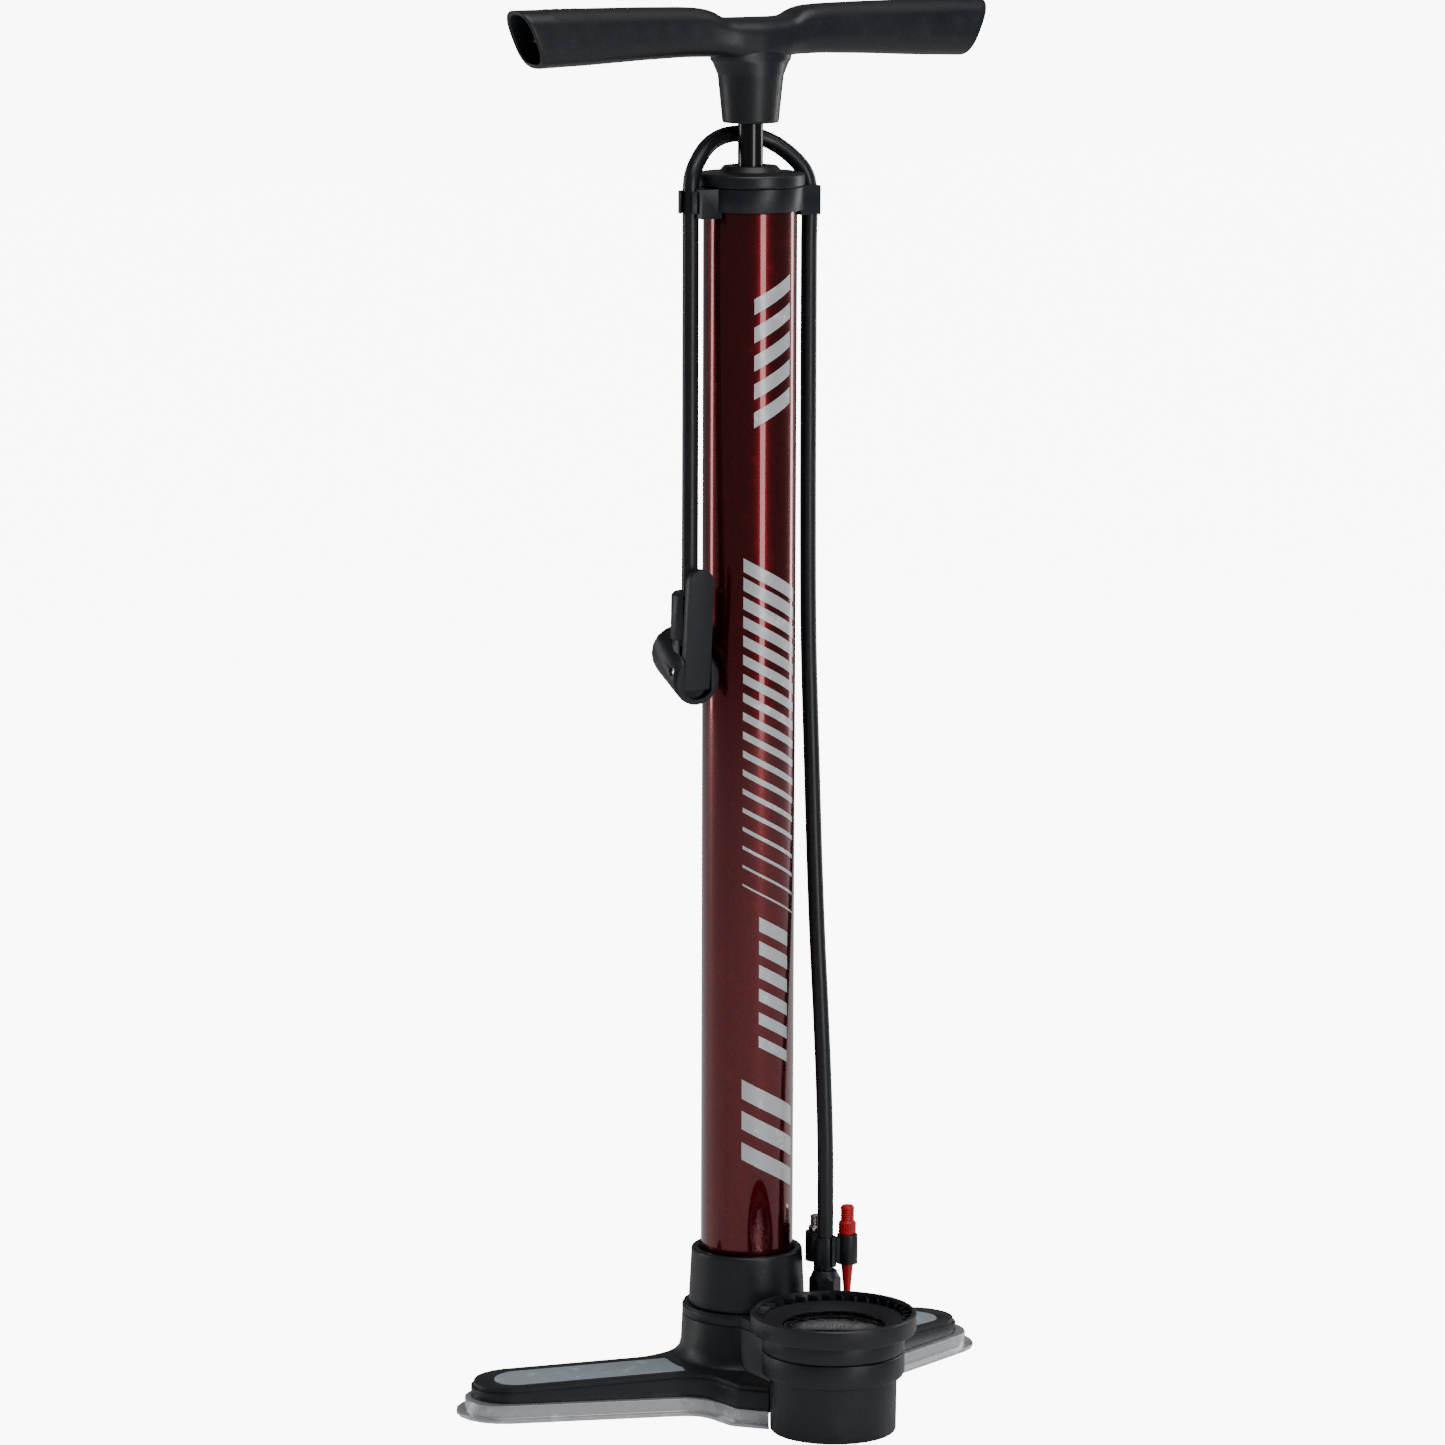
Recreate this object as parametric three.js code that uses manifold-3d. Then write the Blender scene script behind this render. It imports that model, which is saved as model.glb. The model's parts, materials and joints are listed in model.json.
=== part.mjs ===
// Floor bike pump: an upright barrel on a swept two-foot base, a T-handle on a sliding
// rod, a gauge column in front, and a hose that loops over the cap to a lever head.
// Millimetres, +Z up. X runs along the handle; the gauge side is -Y.
import * as THREE from 'three';
import { mergeVertices } from 'three/addons/utils/BufferGeometryUtils.js';
import Module from 'manifold-3d';

const wasm = await Module();
wasm.setup();

// ---------------------------------------------------------------- driving dimensions
const GAP = 0.3;                  // clearance between pieces that touch

const SWEEP = 21;                 // degrees that each foot is swept back
const TIP_X = 108.3;              // centre of a foot's round end, from the barrel's axis
const TIP_Y = 22.5;
const TIP_RADIUS = 20.7;          // flange outline at the foot's end
const PLATE_HEIGHT = 6.8;
const FLANGE_WIDTH = 3.6;
const SHEET = 1.5;                // thickness of the pressed plate
const COVER_INSET = 4.2;          // cover's edge inside the flange's edge
const COVER_TIP_X = 105;          // the cover's round end, a little back from the plate's
const COVER_TIP_Y = 24.2;
const COVER_TOP = 17;             // top of the foot covers beside the hub
const FOOT_FALL = 2.7;            // degrees that each foot's top falls towards its tip
const FALL_START = 36;
const PAD_DEPTH = 1.6;
const PAD_RIM = 5.9;              // cover left around each step pad

const BARREL_RADIUS = 20;
const BARREL_WALL = 1.2;
const BARREL_BOTTOM = 22.6;
const BARREL_TOP = 523.6;
const SEAT_BOTTOM = 19;           // floor of the barrel's socket
const CHAMBER_RADIUS = 9;
const CHAMBER_FLOOR = 10;
const CHANNEL_Z = 13.2;           // height of the air ways in the base

const HUB_RADIUS = BARREL_RADIUS + 8.1;  // at the seam between the hub and the top cover
const HUB_FOOT_RADIUS = HUB_RADIUS + 1.7;
const HUB_SEAM = 35.1;
const RING_TOP = 39.9;            // top of the ring around the hub
const NUT_RADIUS = 7;             // hose nut, which stands beside the hub
const OUTLET_REACH = HUB_RADIUS + NUT_RADIUS + GAP;
const OUTLET_X = 0.678 * OUTLET_REACH;  // where the hose stands on the base
const OUTLET_Y = -0.7345 * OUTLET_REACH;
const BRIDGE_HALF = OUTLET_X - 7; // half width of the bridge from the hub to the gauge
const COLLAR_RADIUS = BARREL_RADIUS + 5.1;
const COLLAR_LIP_RADIUS = COLLAR_RADIUS - 1;
const COLLAR_TOP = 64.6;

const ROD_RADIUS = 5.4;
const SPIGOT_RADIUS = 3.7;        // threaded lower end of the rod
const ROD_BOTTOM = 23.8;
const NUT_HEIGHT = 5;
const WASHER_HEIGHT = 1.2;
const CUP_HEIGHT = 8;
const PISTON_HEIGHT = 12;
const PISTON_BOTTOM = ROD_BOTTOM + 0.6;
const PISTON_TOP = PISTON_BOTTOM + NUT_HEIGHT + WASHER_HEIGHT + CUP_HEIGHT + PISTON_HEIGHT + 3 * GAP;
const GUIDE_HEIGHT = 18;
const BUMPER_HEIGHT = 13.5;
const STROKE = BARREL_TOP - GUIDE_HEIGHT - BUMPER_HEIGHT - PISTON_TOP - 2 * GAP;

const CAP_RADIUS = BARREL_RADIUS + 2.5;
const CAP_BOTTOM = BARREL_TOP - 8.3;
const CAP_SEAM = BARREL_TOP + 1.8;
const CAP_LIP_RADIUS = CAP_RADIUS + 0.7;
const CAP_TOP = BARREL_TOP + 7.4;
const BOSS_RADIUS = ROD_RADIUS + 6.7;
const BOSS_TOP = CAP_TOP + 2.9;

const STEM_BOTTOM = BOSS_TOP + 18.1;
const STEM_RADIUS = ROD_RADIUS + 6.65;
const STEM_TOP_RADIUS = STEM_RADIUS + 2.45;
const ROD_TOP = STEM_BOTTOM + 34;
const HANDLE_HALF = 114.6;        // half length over the grips' crowns
const HANDLE_TOP = STEM_BOTTOM + 49.8;
const GRIP_UNDERSIDE = HANDLE_TOP - 21.6;
const GRIP_END_UNDERSIDE = HANDLE_TOP - 24.4;
const GRIP_DEPTH = 20.5;
const GRIP_WALL = 2;
const END_SLANT = 0.42;           // how far the open ends lean in, per unit of height
const INLAY_DEPTH = 1.3;          // thickness of the soft pads on the grips
const SADDLE_TOP = HANDLE_TOP - 5.4;

const GAUGE_Y = -71.4;            // gauge column's axis, from the barrel's axis
const COLUMN_RADIUS = 27.2;
const BAND_RADIUS = 30.4;
const BAND_BOTTOM = 24.1;
const NECK_TOP = 43;
const BEZEL_RADIUS = 35.4;
const BEZEL_TOP = 51.4;
const BEZEL_WALL = 1.9;
const LOUVRE_COUNT = 34;
const WINDOW_RADIUS = 22;
const LENS_THICKNESS = 1.6;
const FLANGE_RADIUS = 26.5;       // gauge movement's flange, held under the neck
const PIPE_RADIUS = 1.8;
const NEEDLE_ZERO = 135;          // degrees from +Y, anticlockwise seen from above

const HOSE_RADIUS = 3.5;
const HOSE_SIDES = 8;
const HOSE_STEPS = 110;
const NUT_TOP = 56.4;
const BARB_RADIUS = HOSE_RADIUS - 0.1;
const CLIP_X = BARREL_RADIUS + 8.8;    // hose clips beside the cap
const CLIP_Y = 0.9;
const HOLDER_BOTTOM = 58;
const HOLDER_TOP = 71;
const CUP_PLACES = { cone: [11, -0.5], needle: [2, 11] };
const CONE_RADIUS = 2.9;
const NEEDLE_RADIUS = 2.6;

const HEAD_X = -CLIP_X - 3.2;     // pump head hanging on the left run of the hose
const HEAD_Y = -4.3;              // the hose enters the head here
const HEAD_RADIUS = 11.4;         // of its round front and back faces
const HEAD_FRONT = { y: -11.4, z: 317.4 };
const HEAD_REAR = { y: 7.7, z: 327.2 };
const SLOT_WALL = 3;              // left below the lever's foot
const LEVER_WIDTH = 12.8;
const LEVER_THICKNESS = 3;
const LEVER_LEAN = 4.8;           // degrees that the lever leans forward at rest
const LEVER_TOP = 365.5;
const LEVER_BOTTOM = 313.4;
const LEVER_BOSS = 3.5;
const PIVOT_Y = -7.7;
const PIVOT_Z = 321.5;
const PIN_RADIUS = 1.5;
const NECK_RADIUS = 8;
const NECK_SEAT = 334.4;          // where the neck stands on the head's body
const NECK_FLAT = 4.9;            // the neck's front is cut flat this far from its axis
const HEAD_NECK_TOP = 354.8;
const PORT_RADIUS = 6.2;
const VALVE_BORE = 3.9;
const PLUNGER_RADIUS = 5.4;
const PLUNGER_STEM = 1.8;
const PLUNGER_FRONT = -0.5;

// The hose's run from its nut up to the right clip: how far it has moved from the outlet
// to the clip in X and in Y, as parts of one, and its height.
const RUN = [
  [0, 0, 50], [0, 0, 62], [0, 0, 85], [0.04, 0.024, 110], [0.125, 0.12, 140],
  [0.23, 0.255, 170], [0.375, 0.418, 200], [0.542, 0.566, 230], [0.75, 0.757, 280],
  [0.917, 0.924, 330], [0.98, 0.98, 380], [1, 0.996, 440], [1, 1, CAP_BOTTOM - 15.3],
];

// Its arch over the cap, from the right clip to the left one: X in parts of CLIP_X, and Y.
const ARCH = [
  [1, -CLIP_Y, CAP_BOTTOM + 6.2], [0.955, 0.4, CAP_TOP - 1.2], [0.767, 3.9, CAP_TOP + 6.3],
  [0.5, 7.8, CAP_TOP + 12.1], [0.174, 10.5, CAP_TOP + 15.2], [-0.174, 10.8, CAP_TOP + 15.2],
  [-0.5, 8.7, CAP_TOP + 12.1], [-0.767, 5.2, CAP_TOP + 6.3], [-0.955, 2.1, CAP_TOP - 1.2],
  [-1, CLIP_Y, CAP_BOTTOM + 6.2], [-1, CLIP_Y, CAP_BOTTOM - 15.3],
];

// Points that the hose's centre line passes, from inside its nut to inside the head.
const HOSE_POINTS = [
  ...RUN.map(([a, b, z]) =>
    [OUTLET_X + a * (CLIP_X - OUTLET_X), OUTLET_Y - b * (CLIP_Y + OUTLET_Y), z]),
  ...ARCH.map(([a, y, z]) => [a * CLIP_X, y, z]),
  [-CLIP_X - 0.5, 0.1, 455], [-CLIP_X - 1.7, -1.9, 410], [HEAD_X + 0.2, -4, 372],
  [HEAD_X, HEAD_Y, 360], [HEAD_X, HEAD_Y, 348.5],
];

const SEGMENTS = 32;              // facets round a large cylinder
const SMALL_SEGMENTS = 16;

// ---------------------------------------------------------------- finishes
const finish = (color, roughness, metalness, opacity = 1) =>
  new THREE.MeshStandardMaterial({
    color, roughness, metalness, opacity, transparent: opacity < 1,
  });

const blackPlastic = finish(0x23262a, 0.55, 0);
const softBlack = finish(0x1b1d20, 0.8, 0);
const redPaint = finish(0x4a0610, 0.25, 0.6);
const steel = finish(0xb4b8bc, 0.35, 1);
const brightSteel = finish(0xd0d3d6, 0.15, 1);
const blackRod = finish(0x08090a, 0.15, 0.7);
const padGrey = finish(0xa8b4bc, 0.6, 0);
const rubber = finish(0x141516, 0.85, 0);
const redPlastic = finish(0xc81420, 0.4, 0);
const brass = finish(0xb5975a, 0.35, 1);
const clear = finish(0xe8f0f2, 0.05, 0, 0.35);
const dialWhite = finish(0xe9ebec, 0.5, 0);

// ---------------------------------------------------------------- solid tools
const radians = THREE.MathUtils.degToRad;

// One closed body with merged corners, no slivers, and its faces turned outwards.
function closed(geometry) {
  const bare = new THREE.BufferGeometry();
  bare.setAttribute('position', geometry.getAttribute('position').clone());
  if (geometry.index) bare.setIndex(geometry.index.clone());
  const merged = mergeVertices(bare, 1e-4);
  const source = merged.index.array;
  const kept = [];
  for (let i = 0; i < source.length; i += 3) {
    const [a, b, c] = source.subarray(i, i + 3);
    if (a !== b && b !== c && c !== a) kept.push(a, b, c);
  }
  const place = merged.getAttribute('position');
  const [p, q, r] = [new THREE.Vector3(), new THREE.Vector3(), new THREE.Vector3()];
  let volume = 0;
  for (let i = 0; i < kept.length; i += 3) {
    p.fromBufferAttribute(place, kept[i]);
    q.fromBufferAttribute(place, kept[i + 1]);
    r.fromBufferAttribute(place, kept[i + 2]);
    volume += p.dot(q.cross(r));
  }
  if (volume < 0) kept.reverse();
  merged.setIndex(kept);
  return merged;
}

function toSolid(geometry) {
  const body = closed(geometry);
  return new wasm.Manifold(new wasm.Mesh({
    numProp: 3,
    vertProperties: new Float32Array(body.getAttribute('position').array),
    triVerts: new Uint32Array(body.index.array),
  }));
}

function toGeometry(solid) {
  const { vertProperties, triVerts, numProp, numVert } = solid.getMesh();
  const geometry = new THREE.BufferGeometry();
  const positions = new Float32Array(numVert * 3);
  for (let i = 0; i < numVert; i += 1) {
    positions.set(vertProperties.subarray(i * numProp, i * numProp + 3), i * 3);
  }
  geometry.setAttribute('position', new THREE.BufferAttribute(positions, 3));
  geometry.setIndex([...triVerts]);
  return geometry;
}

const join = (...geometries) =>
  toGeometry(geometries.map(toSolid).reduce((whole, piece) => whole.add(piece)));

const cut = (body, ...tools) =>
  toGeometry(tools.map(toSolid).reduce((rest, tool) => rest.subtract(tool), toSolid(body)));

const common = (first, second) => toGeometry(toSolid(first).intersect(toSolid(second)));

// A round piece about Z from [radius, height] pairs that close on the axis or themselves.
function lathe(profile, segments = SEGMENTS) {
  const points = profile.map(([radius, height]) => new THREE.Vector2(radius, height));
  return new THREE.LatheGeometry(points, segments).rotateX(Math.PI / 2);
}

function disc(radius, bottom, top, segments = SEGMENTS) {
  return lathe([[0, bottom], [radius, bottom], [radius, top], [0, top]], segments);
}

function ring(inner, outer, bottom, top, segments = SEGMENTS) {
  const profile = [[inner, bottom], [outer, bottom], [outer, top], [inner, top], [inner, bottom]];
  return lathe(profile, segments);
}

function block(low, high) {
  const size = high.map((value, axis) => value - low[axis]);
  const middle = high.map((value, axis) => (value + low[axis]) / 2);
  return new THREE.BoxGeometry(...size).translate(...middle);
}

function prism(shape, bottom, top, curveSegments = 8) {
  const depth = top - bottom;
  return new THREE.ExtrudeGeometry(shape, { depth, bevelEnabled: false, curveSegments })
    .translate(0, 0, bottom);
}

// A cylinder along Y, from one depth to another.
function rodAlongY(radius, x, z, fromY, toY, segments = SMALL_SEGMENTS) {
  return disc(radius, 0, toY - fromY, segments).rotateX(-Math.PI / 2).translate(x, fromY, z);
}

// A closed skin over rings of points that all hold the same number of points.
function loft(sections) {
  const count = sections[0].length;
  const positions = sections.flat(2);
  const index = [];
  for (let s = 0; s < sections.length - 1; s += 1) {
    for (let i = 0; i < count; i += 1) {
      const a = s * count + i;
      const b = s * count + ((i + 1) % count);
      index.push(a, b, b + count, a, b + count, a + count);
    }
  }
  const last = (sections.length - 1) * count;
  for (let i = 1; i < count - 1; i += 1) {
    index.push(0, i + 1, i, last, last + i, last + i + 1);
  }
  const geometry = new THREE.BufferGeometry();
  geometry.setAttribute('position', new THREE.Float32BufferAttribute(positions, 3));
  geometry.setIndex(index);
  return geometry;
}

const cross2 = (a, b) => a.x * b.y - a.y * b.x;

// A closed outline from [x, y, corner radius] corners taken anticlockwise, moved inwards
// by inset. Outer corners lose the inset from their radius and inner corners gain it.
function roundedOutline(corners, inset = 0, arcSteps = 5) {
  const count = corners.length;
  const point = (i) => new THREE.Vector2(...corners[(i + count) % count].slice(0, 2));
  const along = (i) => point(i + 1).sub(point(i)).normalize();
  const moved = corners.map((_, i) => {
    const [before, after] = [along(i - 1), along(i)];
    const start = point(i - 1).add(new THREE.Vector2(-before.y, before.x).multiplyScalar(inset));
    const other = point(i).add(new THREE.Vector2(-after.y, after.x).multiplyScalar(inset));
    const step = cross2(other.clone().sub(start), after) / cross2(before, after);
    return start.add(before.clone().multiplyScalar(step));
  });
  const outline = [];
  corners.forEach(([, , radius], i) => {
    const [before, after] = [along(i - 1), along(i)];
    const turn = Math.atan2(cross2(before, after), before.dot(after));
    const bend = Math.max(radius - Math.sign(turn) * inset, 0.2);
    const reach = bend * Math.tan(Math.abs(turn) / 2);
    const start = moved[i].clone().sub(before.clone().multiplyScalar(reach));
    const side = new THREE.Vector2(-before.y, before.x).multiplyScalar(Math.sign(turn) * bend);
    const centre = start.clone().add(side);
    for (let k = 0; k <= arcSteps; k += 1) {
      const angle = (turn * k) / arcSteps;
      outline.push(side.clone().negate().rotateAround(new THREE.Vector2(), angle).add(centre));
    }
  });
  return new THREE.Shape(outline);
}

// ---------------------------------------------------------------- the assembly
const pump = new THREE.Group();

// The origin is under the middle of the object's outline, so the barrel stands behind it.
const frontReach = BEZEL_RADIUS - GAUGE_Y;
const backReach = TIP_Y + TIP_RADIUS;
pump.position.y = (frontReach - backReach) / 2;

function add(name, geometry, material) {
  const mesh = new THREE.Mesh(closed(geometry), material);
  mesh.name = name;
  pump.add(mesh);
  return mesh;
}

const atGauge = (geometry) => geometry.translate(0, GAUGE_Y, 0);
const atOutlet = (geometry) => geometry.translate(OUTLET_X, OUTLET_Y, 0);
const columnClearance = () => atGauge(disc(COLUMN_RADIUS + GAP, -1, BAND_BOTTOM));

// ---------------------------------------------------------------- base
// Corners of the base's outline, right half from the front, then its mirror image.
function baseCorners(tipX, tipY) {
  const along = [Math.cos(radians(SWEEP)), Math.sin(radians(SWEEP))];
  const front = [along[1], -along[0]];
  const reach = (a, f) => [0, 1].map((k) => [tipX, tipY][k] + a * along[k] + f * front[k]);
  const r = TIP_RADIUS;
  const frontEdgeAt = (x) => reach(0, r)[1] + (x - reach(0, r)[0]) * (along[1] / along[0]);
  const backEdgeAt = (x) => reach(0, -r)[1] + (x - reach(0, -r)[0]) * (along[1] / along[0]);
  const neck = BAND_RADIUS + 6;
  const hubBack = HUB_FOOT_RADIUS + FLANGE_WIDTH;
  const half = [
    [neck - 16, GAUGE_Y + 6, 4],
    [neck, GAUGE_Y + 24, 10],
    [neck + 2.5, frontEdgeAt(neck + 2.5), 14],
    [...reach(r, r), r - 0.1],
    [...reach(r, -r), r - 0.1],
    [HUB_RADIUS + 8, backEdgeAt(HUB_RADIUS + 8), 16],
    [HUB_RADIUS / 2, hubBack, 14],
  ];
  const mirrored = [...half].reverse().map(([x, y, radius]) => [-x, y, radius]);
  return [...half, ...mirrored];
}

const hubBolts = [[0, 1.1], [-1.05, -0.625], [1.05, -0.625]]
  .map(([x, y]) => [x * BARREL_RADIUS, y * BARREL_RADIUS]);

function buildBase() {
  const corners = baseCorners(TIP_X, TIP_Y);
  const flange = prism(roundedOutline(corners), 0, SHEET);
  const raised = prism(roundedOutline(corners, FLANGE_WIDTH), 0, PLATE_HEIGHT);
  const inside = prism(roundedOutline(corners, FLANGE_WIDTH + SHEET), -1, PLATE_HEIGHT - SHEET);
  const screwHoles = hubBolts.map(([x, y]) => disc(2.4, -1, PLATE_HEIGHT + 1, 12).translate(x, y, 0));
  add('base_plate', cut(join(flange, raised), inside, columnClearance(), ...screwHoles), steel);

  const coverBottom = PLATE_HEIGHT + GAP;
  const coverCorners = baseCorners(COVER_TIP_X, COVER_TIP_Y);
  const cover = prism(roundedOutline(coverCorners, COVER_INSET), coverBottom, COVER_TOP - 2);
  const crown = prism(roundedOutline(coverCorners, COVER_INSET + 1.2), coverBottom, COVER_TOP);
  const hub = lathe([
    [0, coverBottom], [HUB_FOOT_RADIUS + 2.5, coverBottom], [HUB_FOOT_RADIUS + 2.5, COVER_TOP - 0.5],
    [HUB_FOOT_RADIUS, COVER_TOP + 2], [HUB_RADIUS + 0.6, COVER_TOP + 6], [HUB_RADIUS, HUB_SEAM],
    [0, HUB_SEAM],
  ]);
  const web = block([-BRIDGE_HALF, GAUGE_Y, coverBottom], [BRIDGE_HALF, 0, HUB_SEAM]);
  const bandClearance = atGauge(disc(BAND_RADIUS + GAP, BAND_BOTTOM - 2, HUB_SEAM + 1));
  const outletBoss = atOutlet(disc(6.4, coverBottom, 40, SMALL_SEGMENTS));
  const barrelSocket = disc(BARREL_RADIUS + GAP, SEAT_BOTTOM, HUB_SEAM + 1);
  const chamber = disc(CHAMBER_RADIUS, CHAMBER_FLOOR, SEAT_BOTTOM + 1, SMALL_SEGMENTS);
  const gaugeChannel = rodAlongY(2.5, 0, CHANNEL_Z, GAUGE_Y, -CHAMBER_RADIUS + 1, 12);
  const outletWell = atOutlet(disc(BARB_RADIUS - 0.6, CHANNEL_Z, 41, 12));
  const outletChannel = rodAlongY(1.6, 0, 0, 0, Math.hypot(OUTLET_X, OUTLET_Y), 8)
    .rotateZ(Math.atan2(OUTLET_Y, OUTLET_X) - Math.PI / 2)
    .translate(0, 0, CHANNEL_Z);
  const bolts = hubBolts.map(([x, y]) =>
    disc(1.9, coverBottom - 1, SEAT_BOTTOM - 1, 12).translate(x, y, 0));
  const pockets = [-1, 1].map((side) => padSolid(side, GAP, COVER_TOP - PAD_DEPTH - GAP, COVER_TOP + 8));
  const overCover = [-1, 1].map((side) => footSlab(side, COVER_TOP - 2, COVER_TOP + 8));
  const overCrown = [-1, 1].map((side) => footSlab(side, COVER_TOP, COVER_TOP + 8));
  const body = cut(
    join(cut(cover, ...overCover), cut(crown, ...overCrown), hub, web, outletBoss),
    columnClearance(), bandClearance, barrelSocket, chamber, gaugeChannel, outletWell,
    outletChannel, ...bolts, ...pockets,
  );
  add('base_cover', body, blackPlastic);
  add('step_pad_left', padSolid(-1, 0, COVER_TOP - PAD_DEPTH, COVER_TOP), padGrey);
  add('step_pad_right', padSolid(1, 0, COVER_TOP - PAD_DEPTH, COVER_TOP), padGrey);

  hubBolts.forEach(([x, y], i) => {
    const headTop = PLATE_HEIGHT - SHEET - GAP;
    const headBottom = headTop - 2.8;
    const screw = lathe([[0, headBottom], [4, headBottom], [4, headTop], [1.6, headTop],
      [1.6, SEAT_BOTTOM - 1.5], [0, SEAT_BOTTOM - 1.5]], 12);
    add(`base_screw_${i + 1}`, screw.translate(x, y, 0), brightSteel);
  });
}

// A slab over one foot between two heights at the hub, which falls towards the foot's tip.
function footSlab(side, bottom, top) {
  const slab = block([0, -120, bottom - top], [150, 120, 0])
    .rotateY(radians(FOOT_FALL)).translate(FALL_START, 0, top);
  return side > 0 ? slab : slab.scale(-1, 1, 1);
}

// The step pad's outline grown by margin: a bar along the foot with a round outer end
// and a hollow inner end that follows the hub.
function padSolid(side, margin, bottom, top) {
  const halfWidth = TIP_RADIUS - COVER_INSET - PAD_RIM + margin;
  const end = halfWidth - PAD_RIM + 1.8;
  const length = COVER_TIP_X - HUB_FOOT_RADIUS;
  const bar = prism(roundedOutline([
    [-length, -halfWidth, 0.3], [end, -halfWidth, halfWidth - 0.1],
    [end, halfWidth, halfWidth - 0.1], [-length, halfWidth, 0.3],
  ]), 0, COVER_TOP + 10);
  bar.rotateZ(radians(SWEEP)).translate(COVER_TIP_X, COVER_TIP_Y, 0);
  const hubSide = disc(HUB_FOOT_RADIUS + 7.5 - margin, -1, COVER_TOP + 11);
  const right = common(cut(bar, hubSide.translate(0, -4, 0)), footSlab(1, bottom, top));
  return side > 0 ? right : right.scale(-1, 1, 1);
}

function buildTopCover() {
  const hubRing = disc(HUB_RADIUS, HUB_SEAM + GAP, RING_TOP - 0.8);
  const hubRingTop = disc(HUB_RADIUS - 0.5, HUB_SEAM + GAP, RING_TOP);
  const neck = atGauge(disc(BAND_RADIUS, HUB_SEAM + GAP, NECK_TOP));
  const bridge = block([-BRIDGE_HALF, GAUGE_Y, HUB_SEAM + GAP], [BRIDGE_HALF, 0, RING_TOP]);
  const barrelBore = disc(BARREL_RADIUS + GAP, HUB_SEAM, RING_TOP + 1);
  const caseBore = atGauge(disc(FLANGE_RADIUS + GAP, HUB_SEAM, NECK_TOP - 1.6));
  const windowBore = atGauge(disc(FLANGE_RADIUS - 2, HUB_SEAM, NECK_TOP + 1));
  add('top_cover', cut(join(hubRing, hubRingTop, neck, bridge), barrelBore, caseBore, windowBore),
    blackPlastic);

  add('barrel_collar', lathe([
    [BARREL_RADIUS + GAP, RING_TOP + GAP], [COLLAR_RADIUS, RING_TOP + GAP],
    [COLLAR_LIP_RADIUS, COLLAR_TOP - 3], [COLLAR_LIP_RADIUS - 0.6, COLLAR_TOP - 1],
    [COLLAR_LIP_RADIUS - 1.8, COLLAR_TOP], [BARREL_RADIUS + 0.9, COLLAR_TOP],
    [BARREL_RADIUS + GAP, COLLAR_TOP - 0.6], [BARREL_RADIUS + GAP, RING_TOP + GAP],
  ]), blackPlastic);
}

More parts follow.
